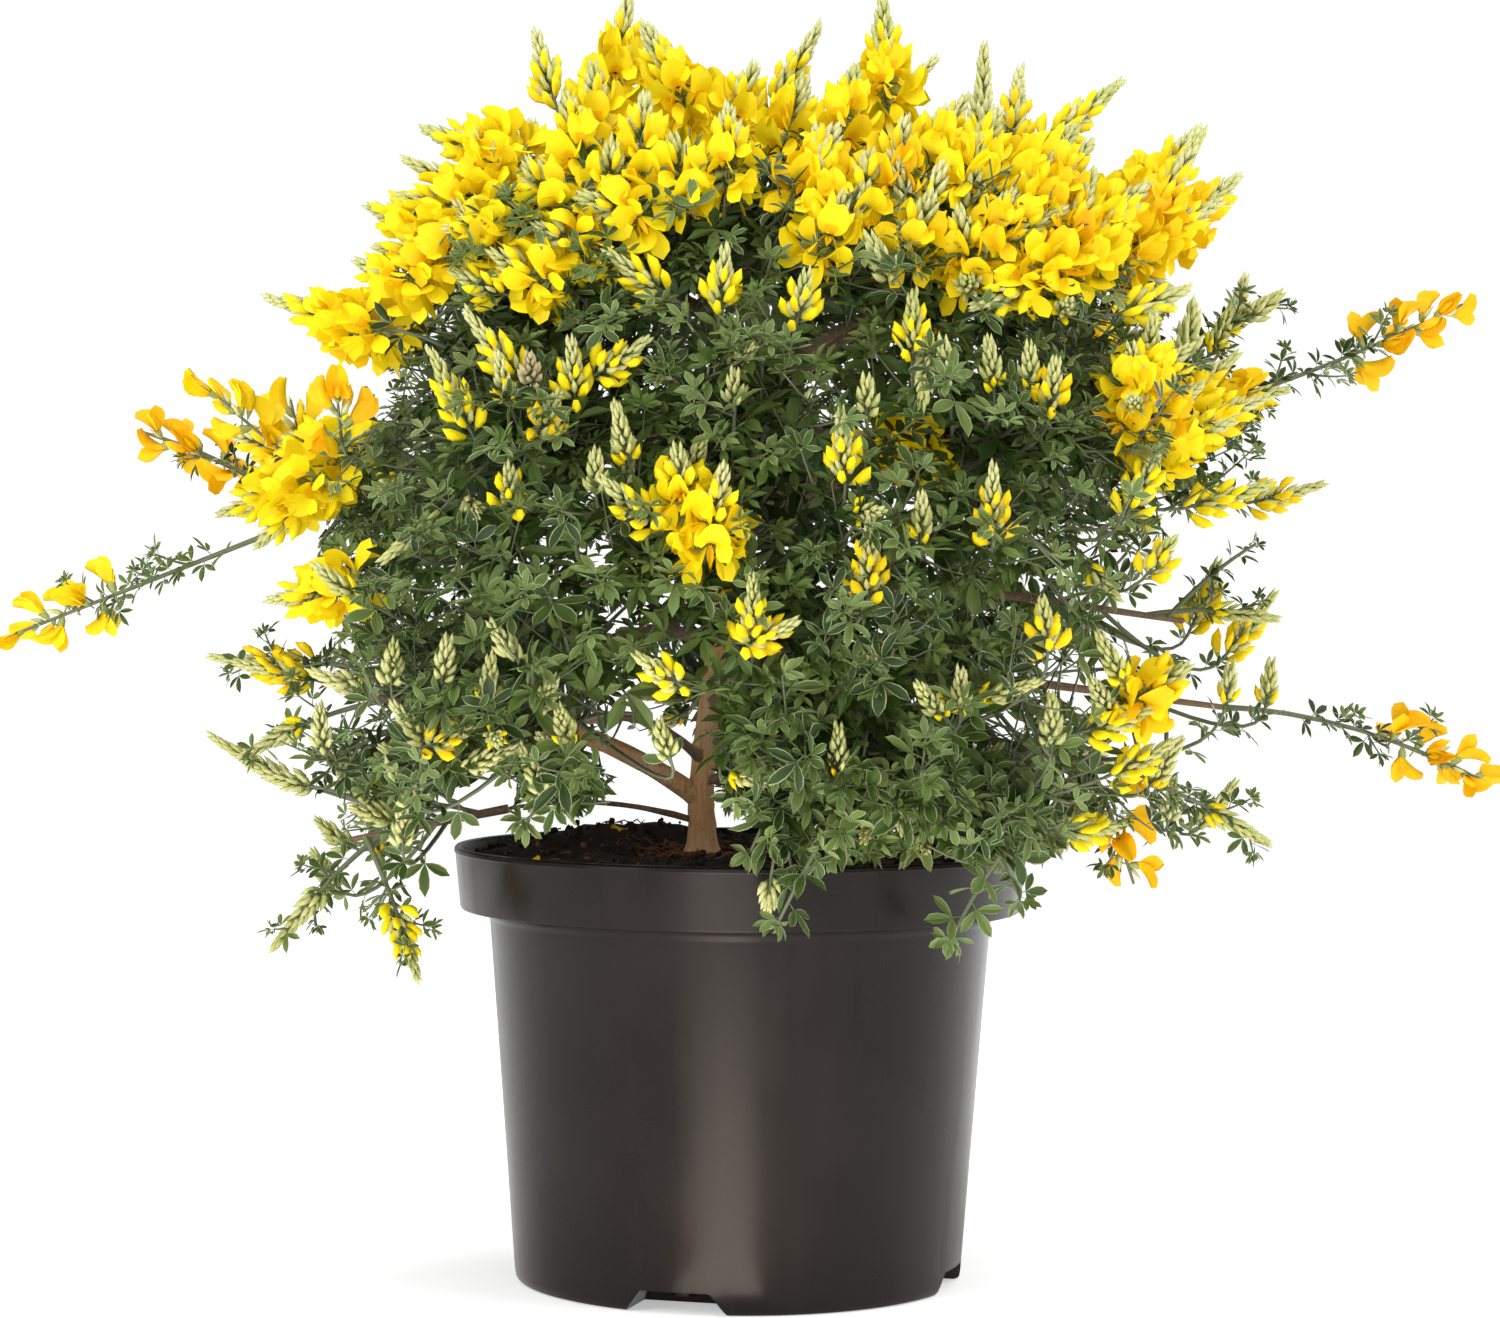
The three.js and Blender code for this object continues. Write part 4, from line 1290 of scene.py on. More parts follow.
@dataclass(frozen=True)
class FlowerPattern:
    """A pea flower: banner, two wings, keel, calyx and stalk, more or less open."""

    openness: float
    banner_length: float = 12.5
    banner_half: float = 6
    wing_length: float = 12.5
    wing_half: float = 3.1
    keel_length: float = 9.5
    rings: tuple[float, ...] = (0, 0.34, 0.67, 1)

    def banner(self) -> Pattern:
        """Model the banner, which stands up and folds back as the flower opens.

        Returns:
            Its pattern.
        """
        first = math.radians(mix(12, 38, self.openness))
        last = math.radians(mix(28, 112, self.openness))
        fold = math.radians(mix(66, 14, self.openness))

        def place(along: Array, wide: Array) -> tuple:
            """Place points.

            Args:
                along: their shares of the length.
                wide: their shares of the half width.

            Returns:
                Their x, y and z.
            """
            turned = first + (last - first) * along
            bend = (last - first) / self.banner_length
            x = 3.4 + (np.sin(turned) - math.sin(first)) / bend
            z = 0.6 - (np.cos(turned) - math.cos(first)) / bend
            half = self.banner_half * np.sin(np.pi * (0.1 + 0.82 * along)) ** 0.75
            out = half * np.abs(wide) * math.sin(fold) - 0.9 * along * (1 - np.abs(wide))
            x, z = x + out * np.sin(turned), z - out * np.cos(turned)
            notch = np.where(along > 0.95, 0.4 * (1 - np.abs(wide)), 0)
            return x, half * wide * math.cos(fold), z - notch

        return Pattern.sheet(
            6, 4, place,
            lambda along, wide: Part.EDGE if along < 0.3 and abs(wide) < 0.5 else Part.BODY)

    def wing(self, hand: float) -> Pattern:
        """Model a wing petal.

        Args:
            hand: 1 or -1 for its side.

        Returns:
            Its pattern.
        """
        drop = math.radians(mix(6, -34, self.openness))
        splay = math.radians(mix(3, 20, self.openness))

        def place(along: Array, wide: Array) -> tuple:
            """Place points.

            Args:
                along: their shares of the length.
                wide: their shares of the half width.

            Returns:
                Their x, y and z.
            """
            half = self.wing_half * np.sin(np.pi * along**1.5) ** 0.6
            out = self.wing_length * along
            x = 3.2 + out * math.cos(drop) * math.cos(splay) - half * wide * math.sin(drop)
            y = 0.7 + out * math.sin(splay) + 0.9 * np.sin(np.pi * along) - 0.45 * half * wide
            return x, hand * y, out * math.sin(drop) + half * wide * math.cos(drop)

        return Pattern.sheet(5, 2, place)

    def keel(self) -> Pattern:
        """Model the keel, a small boat between the wings.

        Returns:
            Its pattern.
        """
        drop = math.radians(mix(2, -20, self.openness))

        def place(along: Array, wide: Array) -> tuple:
            """Place points at shares of its length and half width."""
            full = np.sin(np.pi * (0.08 + 0.92 * along) ** 0.9)
            return (3.2 + self.keel_length * along * math.cos(drop), 1.3 * wide * full,
                    self.keel_length * along * math.sin(drop) - 2.6 * (1 - np.abs(wide)) * full)

        return Pattern.sheet(3, 2, place, Part.EDGE)

    def calyx(self, along: Array) -> tuple:
        """The x, half width, half height and sag of calyx and stalk at shares of their length."""
        radius = np.interp(along, self.rings, (0.4, 0.45, 1.5, 1.9))
        return np.interp(along, self.rings, (-4, 0, 1.6, 4.4)), radius, radius, 0

    def model(self) -> Pattern:
        """Model the whole flower."""
        return Pattern.joined([self.banner(), self.wing(1), self.wing(-1), self.keel(),
                               Pattern.round(3, 4, self.calyx, Part.STALK)])


@dataclass(frozen=True)
class BudPattern:
    """A flower bud: a plump body on a calyx that hides its lower share."""

    length: float
    half: float
    bow: float
    calyx_end: float
    swell: float
    along: int = 3
    wide: int = 4

    def line(self, along: Array) -> tuple:
        """The x, half width, half height and sag of the bud at shares of its length."""
        radius = self.half * np.sin(np.pi * along**self.swell) ** 0.75
        return along * self.length, 0.8 * radius, radius, self.bow * np.sin(np.pi * along * 0.9)

    def model(self) -> Pattern:
        """Model the bud, with the calyx as a part of its own."""
        return Pattern.round(self.along, self.wide, self.line, lambda along, wide: (
            Part.STALK if along < self.calyx_end else Part.BODY))


def write_mesh(name: str, points: Array, faces: Array, slots: Array,
               finishes: Sequence["Finish"]) -> Piece:
    """Write triangles as one smooth object, in metres.

    Args:
        name: the object's name.
        points: the points as rows, in millimetres.
        faces: three point numbers for each triangle.
        slots: the number of the finish of each triangle.
        finishes: the finishes.

    Returns:
        The object.
    """
    mesh = bpy.data.meshes.new(name)
    count = len(faces)
    mesh.vertices.add(len(points))
    mesh.vertices.foreach_set("co", (points * METRE).astype(np.float32).ravel())
    mesh.loops.add(count * 3)
    mesh.loops.foreach_set("vertex_index", faces.astype(np.int32).ravel())
    mesh.polygons.add(count)
    mesh.polygons.foreach_set("loop_start", np.arange(0, count * 3, 3, dtype=np.int32))
    mesh.polygons.foreach_set("material_index", slots.astype(np.int32))
    mesh.polygons.foreach_set("use_smooth", np.ones(count, bool))
    for finish in finishes:
        mesh.materials.append(finish.material())
    mesh.update(calc_edges=True)
    mesh.validate()
    piece = bpy.data.objects.new(name, mesh)
    bpy.context.scene.collection.objects.link(piece)
    return piece


class Scatter:
    """Many copies of a few patterns, written as one joined mesh."""

    def __init__(self, name: str, finishes: Sequence["Finish"]) -> None:
        """Name the piece and give the finishes that its palettes number."""
        self.name, self.finishes, self.rows, self.patterns = name, finishes, {}, {}

    def add(self, pattern: Pattern, root: Array, forward: Array, up: Array, size: float,
            palette: tuple[int, int, int]) -> None:
        """Place a copy: its origin, its x axis, where its z axis leans, its scale, its finishes."""
        self.patterns[id(pattern)] = pattern
        self.rows.setdefault(id(pattern), []).append((root, forward, up, size, palette))

    def write(self) -> Piece:
        """Write all copies.

        Returns:
            One object.
        """
        points, faces, slots, start = [], [], [], 0
        for key, rows in self.rows.items():
            pattern = self.patterns[key]
            roots, forwards, ups, sizes, palettes = (np.array(one) for one in zip(*rows))
            x = unit(forwards)
            y = unit(np.cross(ups, x))
            z = np.cross(x, y)
            frames = np.stack((x, y, z), 1) * sizes[:, None, None]
            placed = np.einsum("pk,nkc->npc", pattern.points, frames) + roots[:, None, :]
            count, each = placed.shape[:2]
            numbers = start + np.arange(count)[:, None, None] * each + pattern.faces[None]
            points.append(placed.reshape(-1, 3))
            faces.append(numbers.reshape(-1, 3))
            slots.append(palettes[:, pattern.parts].ravel())
            start += count * each
        return write_mesh(self.name, np.concatenate(points), np.concatenate(faces),
                          np.concatenate(slots), self.finishes)


class Tubes:
    """Many tapering twigs, written as one joined mesh."""

    def __init__(self, name: str, finishes: Sequence["Finish"]) -> None:
        """Name the piece and give the finishes that its twigs number."""
        self.name, self.finishes = name, finishes
        self.points, self.faces, self.slots, self.start = [], [], [], 0

    def add(self, line: Array, radii: Array, sides: int, slot: int) -> None:
        """Add one twig, closed to a point at its tip.

        Args:
            line: the points along it.
            radii: its radius at each of them.
            sides: the number of its sides.
            slot: the number of its finish.
        """
        along = unit(np.gradient(line, axis=0))
        helper = UP if abs(unit(line[-1] - line[0])[2]) < 0.8 else SIDEWAYS
        side = unit(np.cross(helper, along))
        other = np.cross(along, side)
        here = np.arange(sides)
        beyond = (here + 1) % sides
        angle = here * TURN / sides
        ring = side[:, None, :] * np.cos(angle)[None, :, None]
        ring = ring + other[:, None, :] * np.sin(angle)[None, :, None]
        body = (line[:, None, :] + ring * radii[:, None, None]).reshape(-1, 3)
        tip = line[-1] + along[-1] * radii[-1]
        faces = []
        for low in range(0, len(body) - sides, sides):
            high = low + sides
            faces.append(np.stack((low + here, low + beyond, high + beyond), 1))
            faces.append(np.stack((low + here, high + beyond, high + here), 1))
        last = len(body) - sides
        faces.append(np.stack((last + here, last + beyond, np.full(sides, len(body))), 1))
        made = np.concatenate(faces)
        self.points.append(np.concatenate((body, tip[None])))
        self.faces.append(made + self.start)
        self.slots.append(np.full(len(made), slot))
        self.start += len(body) + 1

    def write(self) -> Piece:
        """Write all twigs as one object."""
        return write_mesh(self.name, np.concatenate(self.points), np.concatenate(self.faces),
                          np.concatenate(self.slots), self.finishes)


# Finishes


class Reading:
    """A number that varies over a surface and takes part in plain arithmetic."""

    def __init__(self, shader: "Shader", socket: Socket) -> None:
        """Wrap a socket of a shader."""
        self.shader, self.socket = shader, socket

    def _math(self, operation: str, first: object, second: object) -> "Reading":
        """One Math node on two values."""
        node = self.shader.node("ShaderNodeMath", {"operation": operation}, {0: first, 1: second})
        return Reading(self.shader, node.outputs[0])

    def __add__(self, other: object) -> "Reading":
        """This plus another."""
        return self._math("ADD", self, other)

    def __sub__(self, other: object) -> "Reading":
        """This less another."""
        return self._math("SUBTRACT", self, other)

    def __mul__(self, other: object) -> "Reading":
        """This times another."""
        return self._math("MULTIPLY", self, other)

    __radd__ = __add__
    __rmul__ = __mul__

    def clear(self, low: float, high: float) -> "Reading":
        """This spread so that the low value reads 0 and the high one 1, and held there."""
        node = self.shader.node("ShaderNodeMapRange", {"clamp": True},
                                {"Value": self, "From Min": low, "From Max": high})
        return Reading(self.shader, node.outputs[0])


class Shader:
    """The nodes of one material, added one after the other."""

    def __init__(self, name: str) -> None:
        """Start a material with a surface shader and its output.

        Args:
            name: the material's name.
        """
        self.material = bpy.data.materials.new(name)
        self.material.use_nodes = True
        self.tree = self.material.node_tree
        self.tree.nodes.clear()
        self.surface = self.node("ShaderNodeBsdfPrincipled")
        self.node("ShaderNodeOutputMaterial", {}, {"Surface": self.surface.outputs[0]})
        self.place = self.node("ShaderNodeTexCoord").outputs["Object"]

    def feed(self, target: Socket, value: object) -> None:
        """Link or set a socket.

        Args:
            target: the socket.
            value: a number, a colour, a reading or another socket.
        """
        value = value.socket if isinstance(value, Reading) else value
        if isinstance(value, Socket):
            self.tree.links.new(value, target)
        else:
            target.default_value = (*value, 1) if target.type == "RGBA" else value

    def node(self, kind: str, settings: dict | None = None,
             values: dict | None = None) -> bpy.types.Node:
        """Add a node.

        Args:
            kind: its type.
            settings: what is set on the node itself.
            values: what goes into its sockets, by name or number.

        Returns:
            The node.
        """
        made = self.tree.nodes.new(kind)
        for name, setting in (settings or {}).items():
            setattr(made, name, setting)
        for name, value in (values or {}).items():
            self.feed(made.inputs[name], value)
        return made

    def noise(self, scale: float, detail: float = 3, stretch: Point = (1, 1, 1)) -> Reading:
        """Soft noise over the surface, around one half.

        Args:
            scale: patches in a metre.
            detail: how many finer layers it has.
            stretch: how much closer it runs along each axis.

        Returns:
            The noise.
        """
        mapped = self.node("ShaderNodeMapping", {}, {"Vector": self.place, "Scale": stretch})
        made = self.node("ShaderNodeTexNoise", {}, {
            "Vector": mapped.outputs[0], "Scale": scale, "Detail": detail})
        return Reading(self, made.outputs["Fac"])

    def blend(self, share: Reading, first: object, second: object) -> Socket:
        """Mix two colours by a share that varies over the surface."""
        values = {0: share, 6: first, 7: second}
        return self.node("ShaderNodeMix", {"data_type": "RGBA"}, values).outputs[2]

    def bump(self, height: Reading, distance: float) -> Socket:
        """Relief of a depth in metres."""
        return self.node("ShaderNodeBump", {}, {"Height": height, "Distance": distance}).outputs[0]

    def dress(self, **values: object) -> None:
        """Set the surface's sockets, with _ for the spaces in their names."""
        for name, value in values.items():
            self.feed(self.surface.inputs[name.replace("_", " ")], value)


@dataclass(frozen=True)
class Finish:
    """A finish by its name. Each kind of finish makes its own material."""

    name: str

    def build(self, shader: Shader) -> None:
        """Make the finish's nodes in a new material."""
        raise NotImplementedError

    def material(self) -> bpy.types.Material:
        """The finish's material, made once.

        Returns:
            The material.
        """
        made = bpy.data.materials.get(self.name)
        if made is None:
            shader = Shader(self.name)
            self.build(shader)
            made = shader.material
        return made


@dataclass(frozen=True)
class PotPlastic(Finish):
    """Black moulded plastic with a soft gloss, fine upright scuffs and a little dust."""

    colour: Colour = (0.0078, 0.0054, 0.0042)
    dusty: Colour = (0.02, 0.0152, 0.0128)
    roughness: float = 0.25

    def build(self, shader: Shader) -> None:
        """Make the finish's nodes.

        Args:
            shader: the new material.
        """
        scuffs = shader.noise(60, 4, (1, 1, 0.07)).clear(0.52, 0.72)
        grain = shader.noise(1400, 2)
        cloud = shader.noise(14, 5).clear(0.42, 0.75)
        shader.dress(
            Base_Color=shader.blend(cloud * 0.5 + scuffs * 0.2, self.colour, self.dusty),
            Roughness=cloud * 0.12 + scuffs * 0.1 + grain * 0.06 + (self.roughness - 0.03),
            Normal=shader.bump(grain * 0.5 + scuffs * 0.8, 0.00002),
            Specular_IOR_Level=0.17,
        )


@dataclass(frozen=True)
class PottingSoil(Finish):
    """Damp peat with paler fibres in it."""

    dark: Colour = (0.012, 0.007, 0.0045)
    pale: Colour = (0.075, 0.04, 0.02)

    def build(self, shader: Shader) -> None:
        """Make the finish's nodes.

        Args:
            shader: the new material.
        """
        lumps = shader.noise(240, 5)
        fibres = shader.noise(500, 3, (1, 0.25, 1)).clear(0.55, 0.75)
        shader.dress(
            Base_Color=shader.blend(fibres * 0.6 + lumps * 0.3, self.dark, self.pale),
            Roughness=0.95,
            Normal=shader.bump(lumps + fibres * 0.4, 0.0025),
        )


@dataclass(frozen=True)
class Bark(Finish):
    """Bark with upright fibres, grey where it weathers and ringed with small pores."""

    warm: Colour = (0.76, 0.42, 0.19)
    grey: Colour = (0.8, 0.53, 0.3)
    deep: Colour = (0.3, 0.145, 0.065)

    def build(self, shader: Shader) -> None:
        """Make the finish's nodes.

        Args:
            shader: the new material.
        """
        fibres = shader.noise(900, 5, (1, 1, 0.12))
        patches = shader.noise(55, 4, (1, 1, 0.5)).clear(0.46, 0.7)
        pores = shader.noise(420, 2, (1, 1, 2.6)).clear(0.62, 0.72)
        body = shader.blend(patches, self.warm, self.grey)
        shader.dress(
            Base_Color=shader.blend(pores * 0.4 + fibres.clear(0.62, 0.3) * 0.35, body, self.deep),
            Roughness=0.75 + fibres * 0.15,
            Normal=shader.bump(fibres - pores * 0.4, 0.0008),
        )


@dataclass(frozen=True)
class Green(Finish):
    """Leaf, twig, edge or calyx: a colour that drifts to a second one, with fine hairs."""

    colour: Colour
    second: Colour
    roughness: float = 0.46
    hairs: float = 0.00012

    def build(self, shader: Shader) -> None:
        """Make the finish's nodes.

        Args:
            shader: the new material.
        """
        drift = shader.noise(70, 3).clear(0.3, 0.7)
        hairs = shader.noise(2600, 2)
        shader.dress(
            Base_Color=shader.blend(drift, self.colour, self.second),
            Roughness=self.roughness - 0.06 + hairs * 0.12,
            Normal=shader.bump(hairs, self.hairs),
            Specular_IOR_Level=0.3,
        )


@dataclass(frozen=True)
class Petal(Finish):
    """Petals with a painted glow: they give off a little light of their own colour, which stands in
    for light passing through them.
    """

    colour: Colour
    second: Colour
    glow: float = 0.06

    def build(self, shader: Shader) -> None:
        """Make the finish's nodes.

        Args:
            shader: the new material.
        """
        drift = shader.noise(160, 3).clear(0.3, 0.7)
        veins = shader.noise(900, 3)
        colour = shader.blend(drift, self.colour, self.second)
        shader.dress(
            Base_Color=colour,
            Roughness=0.5 + veins * 0.15,
            Normal=shader.bump(veins, 0.00015),
            # painted glow: a little emission in the petal's own colour, whatever light falls on it
            Emission_Color=colour,
            Emission_Strength=self.glow,
            Specular_IOR_Level=0.2,
        )


@dataclass(frozen=True)
class Paper(Finish):
    """The pale floor."""

    shade: float = 0.92
    glow: float = 0.42

    def build(self, shader: Shader) -> None:
        """Make the finish's nodes in a new material."""
        shader.dress(Base_Color=(self.shade,) * 3, Roughness=0.9, Emission_Color=(1, 1, 1),
                     Emission_Strength=self.glow, Specular_IOR_Level=0.1)


POT_PLASTIC = PotPlastic("pot_plastic")
POTTING_SOIL = PottingSoil("potting_soil")
TRUNK_BARK = Bark("trunk_bark")
TWIG_BARK = Bark("twig_bark", (0.23, 0.14, 0.08), (0.3, 0.22, 0.15), (0.08, 0.05, 0.03))
GREEN_TWIG = Green("green_twig", (0.12, 0.15, 0.075), (0.19, 0.2, 0.12), 0.6)
RUSTY_FIBRE = Bark("rusty_fibre", (0.28, 0.1, 0.05), (0.3, 0.15, 0.08), (0.12, 0.05, 0.03))
LEAF_FINISHES = (
    Green("leaf_deep", (0.023, 0.044, 0.008), (0.036, 0.066, 0.012)),
    Green("leaf_middle", (0.05, 0.09, 0.014), (0.076, 0.124, 0.023)),
    Green("leaf_fresh", (0.115, 0.176, 0.034), (0.17, 0.234, 0.062)),
    Green("leaf_edge", (0.26, 0.32, 0.16), (0.4, 0.45, 0.26), 0.6),
    Green("leaf_stalk", (0.13, 0.17, 0.06), (0.2, 0.23, 0.1), 0.6),
)
EDGE, STALK = 3, 4
BLOSSOM_FINISHES = (
    Petal("petal_lemon", (0.89, 0.68, 0.004), (0.92, 0.75, 0.008)),
    Petal("petal_yellow", (0.88, 0.59, 0.003), (0.9, 0.67, 0.005)),
    Petal("petal_orange", (0.88, 0.46, 0.003), (0.9, 0.56, 0.004)),
    Petal("petal_throat", (0.88, 0.5, 0.003), (0.9, 0.6, 0.004)),
    Green("calyx_green", (0.3, 0.37, 0.1), (0.42, 0.47, 0.17), 0.6),
    Green("bud_pale", (0.5, 0.53, 0.16), (0.68, 0.67, 0.32), 0.6),
    Green("bud_rose", (0.44, 0.37, 0.19), (0.56, 0.48, 0.27), 0.6),
)
LEMON, YELLOW, ORANGE, THROAT, CALYX, PALE, ROSE = range(7)
FLOOR_PAPER = Paper("floor_paper")


def hand_over(piece: Piece, nodes: Iterable[str]) -> None:
    """Let a finished piece ride on the part and the nodes that it stands for.

    Args:
        piece: the piece.
        nodes: the names of the nodes.
    """
    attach(piece, BODY)
    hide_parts(*nodes)
    count = sum(len(face.vertices) - 2 for face in piece.data.polygons)
    LOG.info("%s: %d triangles", piece.name, count)


# Sub-assemblies


@dataclass
class NurseryPot:
    """The pot: a tapered wall, a wide rim band over a bead, and channels under the foot."""

    sides: int = 128
    wall: float = 2
    channel_bearing: float = math.radians(-105.7)
    channel_count: int = 4
    channel_reach: Pair = (60, 96)
    channel_height: float = 8.5
    channel_halves: Pair = (21.5, 13.5)
    rounding: float = 0.8
    hole_sides: int = 24
    hole_radius: float = 5
    hole_depth: float = 8
    hole_inset: float = 14
    sharp_from: float = math.radians(32)
    outline: tuple[Pair, ...] = (
        (84.9, 0), (86.6, 0.5), (87.4, 1.6), (87.8, 4), (98.3, 140.8), (98.7, 142), (99.5, 143),
        (99.7, 143.9), (99.7, 144.9), (100.6, 145.5), (108.6, 145.5), (109.6, 145.8),
        (110.1, 146.7), (112.1, 167.2), (112.6, 168), (112.5, 169.2), (111.9, 169.9),
        (111, 170), (109.9, 169.6), (109.2, 168.4), (108.2, 149), (107.6, 147.6), (98, 147.4),
        (96.4, 146), (85.8, 13), (80, 11.6),
    )

    def channel(self, order: int) -> Piece:
        """Model a drainage channel and the hole over it, as a tool to cut with.

        Args:
            order: the channel's number.

        Returns:
            The tool.
        """
        inner, outer = self.channel_reach
        foot, roof = self.channel_halves
        only()
        bpy.ops.mesh.primitive_cube_add(size=1)
        block = bpy.context.object
        for corner in block.data.vertices:
            top = corner.co.z > 0
            corner.co = Vector((outer if corner.co.x > 0 else inner,
                                math.copysign(roof if top else foot, corner.co.y),
                                self.channel_height if top else -self.wall)) * METRE
        with edit_mode():
            pick_all()
            bpy.ops.mesh.bevel(offset=self.rounding * METRE, segments=3, affect="EDGES")
        bpy.ops.mesh.primitive_cylinder_add(
            vertices=self.hole_sides, radius=self.hole_radius * METRE,
            depth=self.hole_depth * METRE,
            location=((inner + self.hole_inset) * METRE, 0, (self.channel_height + 1) * METRE))
        tool = as_one([bpy.context.object, block])
        tool.data.transform(tool.matrix_world)
        tool.matrix_world.identity()
        turn = self.channel_bearing + order * TURN / self.channel_count
        tool.data.transform(Euler((0, 0, turn)).to_matrix().to_4x4())
        return tool

    def build(self) -> None:
        """Model the pot, cut its channels and dress it."""
        piece = lathed("pot_shell", self.sides, self.outline)
        cutter = as_one([self.channel(order) for order in range(self.channel_count)])
        only(piece)
        cut = piece.modifiers.new("channels", "BOOLEAN")
        cut.operation, cut.object, cut.solver = "DIFFERENCE", cutter, "EXACT"
        bpy.ops.object.modifier_apply(modifier=cut.name)
        bpy.data.objects.remove(cutter)
        bpy.ops.object.shade_smooth_by_angle(angle=self.sharp_from)
        piece.data.materials.clear()
        piece.data.materials.append(POT_PLASTIC.material())
        hand_over(piece, ["pot"])


@dataclass
class SoilFill:
    """The soil: a lumpy mound in the pot, with crumbs, fibres and a few fallen petals on it."""

    sides: int = 96
    foot: float = 120
    edge: float = 160
    rings: tuple[float, ...] = (107.4, 104, 98, 90, 80, 69, 57, 46, 36, 28, 20, 13, 7, 2)
    trunk_at: float = -15
    heap_at: Pair = (-42, 52)
    heap_height: float = 7
    crumbs: int = 900
    crumb_sizes: Pair = (0.5, 1.9)
    rusty_share: float = 0.1
    fibres: int = 150
    fibre_steps: int = 6
    fibre_lengths: Pair = (1.5, 3.6)
    fibre_radii: Pair = (0.42, 0.16)
    fallen: tuple[Pair, ...] = ((-76, -58), (-52, 34), (40, 70), (72, -20))
    seed: int = 91

    def height(self, x: float, y: float) -> float:
        """The height of the soil, mounded to the trunk, heaped at one place and lumpy.

        Args:
            x: the place across.
            y: the depth.

        Returns:
            The height there.
        """
        radius = math.hypot(x - self.trunk_at, y)
        away = within((radius - 12) / 40, 0, 1)
        mound = self.edge + 5 + away * 2.5 - 3 * max(0.0, math.hypot(x, y) - 92) / 15
        from_heap = (x - self.heap_at[0]) ** 2 + (y - self.heap_at[1]) ** 2
        heap = self.heap_height * math.exp(-from_heap / 1500)
        lumps = noise.fractal(Vector((x, y, 3)) / 16, 0.8, 2.0, 4) * 3
        lumps += noise.noise(Vector((x, y, 9)) / 5) * 1.2
        return mound + heap + lumps * within((radius - 9) / 16, 0.25, 1)

    def fill(self) -> Piece:
        """Model the fill, ring by ring up the pot's wall and then inwards over the mound.

        Returns:
            The fill.
        """
        wall = ((94, self.foot), (95.8, 147), (106.8, 149.5))
        mound = ((ring, self.edge) for ring in self.rings)
        piece = lathed("soil_fill", self.sides, (*wall, *mound))
        for corner in piece.data.vertices:
            x, y, z = corner.co / METRE
            if z > self.edge - 0.5:  # the mound's rings, not the wall below them
                corner.co.z = self.height(x, y) * METRE
        bpy.ops.object.shade_smooth()
        piece.data.materials.clear()
        piece.data.materials.append(POTTING_SOIL.material())
        return piece

    def litter(self) -> Piece:
        """Scatter crumbs of soil and of rusty bark over the mound.

        Returns:
            All the crumbs.
        """
        random = Seeded(self.seed)
        crumb = BudPattern(2, 0.9, 0, 2, 1).model()
        crumbs = Scatter("soil_crumbs", (POTTING_SOIL, RUSTY_FIBRE))
        for _ in range(self.crumbs):
            radius, turn = 106 * math.sqrt(random()), random.angle()
            x, y = radius * math.cos(turn), radius * math.sin(turn)
            rust = int(random() > 1 - self.rusty_share)
            crumbs.add(crumb, point((x, y, self.height(x, y))), random.vector() + UP * 0.1,
                       random.vector() + UP, random.between(*self.crumb_sizes), (rust,) * 3)
        return crumbs.write()

    def strands(self) -> Piece:
        """Lay thin fibres over the mound, half of them by the foot of the trunk.

        Returns:
            All the fibres.
        """
        random = Seeded(self.seed + 1)
        tubes = Tubes("soil_fibres", (RUSTY_FIBRE, POTTING_SOIL))
        for order in range(self.fibres):
            near = order < self.fibres * 0.5
            radius = random.between(8, 26) if near else 100 * math.sqrt(random())
            turn = random.angle()
            x, y = radius * math.cos(turn) + self.trunk_at * near, radius * math.sin(turn)
            heading, line = random.angle(), []
            for _ in range(self.fibre_steps):
                line.append((x, y, self.height(x, y) + 0.5 + random() * (2.2 if near else 1)))
                heading += random.between(-0.7, 0.7)
                reach = random.between(*self.fibre_lengths)
                x, y = x + reach * math.cos(heading), y + reach * math.sin(heading)
                if math.hypot(x, y) > 105:
                    break
            if len(line) > 2:
                radii = np.linspace(*self.fibre_radii, len(line))
                tubes.add(np.array(line), radii, 3, 0 if near or random() < 0.5 else 1)
        return tubes.write()

    def petals(self) -> Piece:
        """Lay the fallen petals on the mound.

        Returns:
            All the petals.
        """
        random = Seeded(self.seed + 2)
        petal = FlowerPattern(0.6).banner()
        fallen = Scatter("fallen_petals", BLOSSOM_FINISHES)
        for x, y in self.fallen:
            root = point((x, y, self.height(x, y) + 4))
            way = random.vector() * (1, 1, 0.2)
            fallen.add(petal, root, -UP + way, way, 0.7, (ORANGE, ORANGE, CALYX))
        return fallen.write()

    def build(self) -> None:
        """Model the fill and what lies on it."""
        for piece in (self.fill(), self.litter(), self.strands()):
            hand_over(piece, ["soil"])
        hand_over(self.petals(), ["soil"])


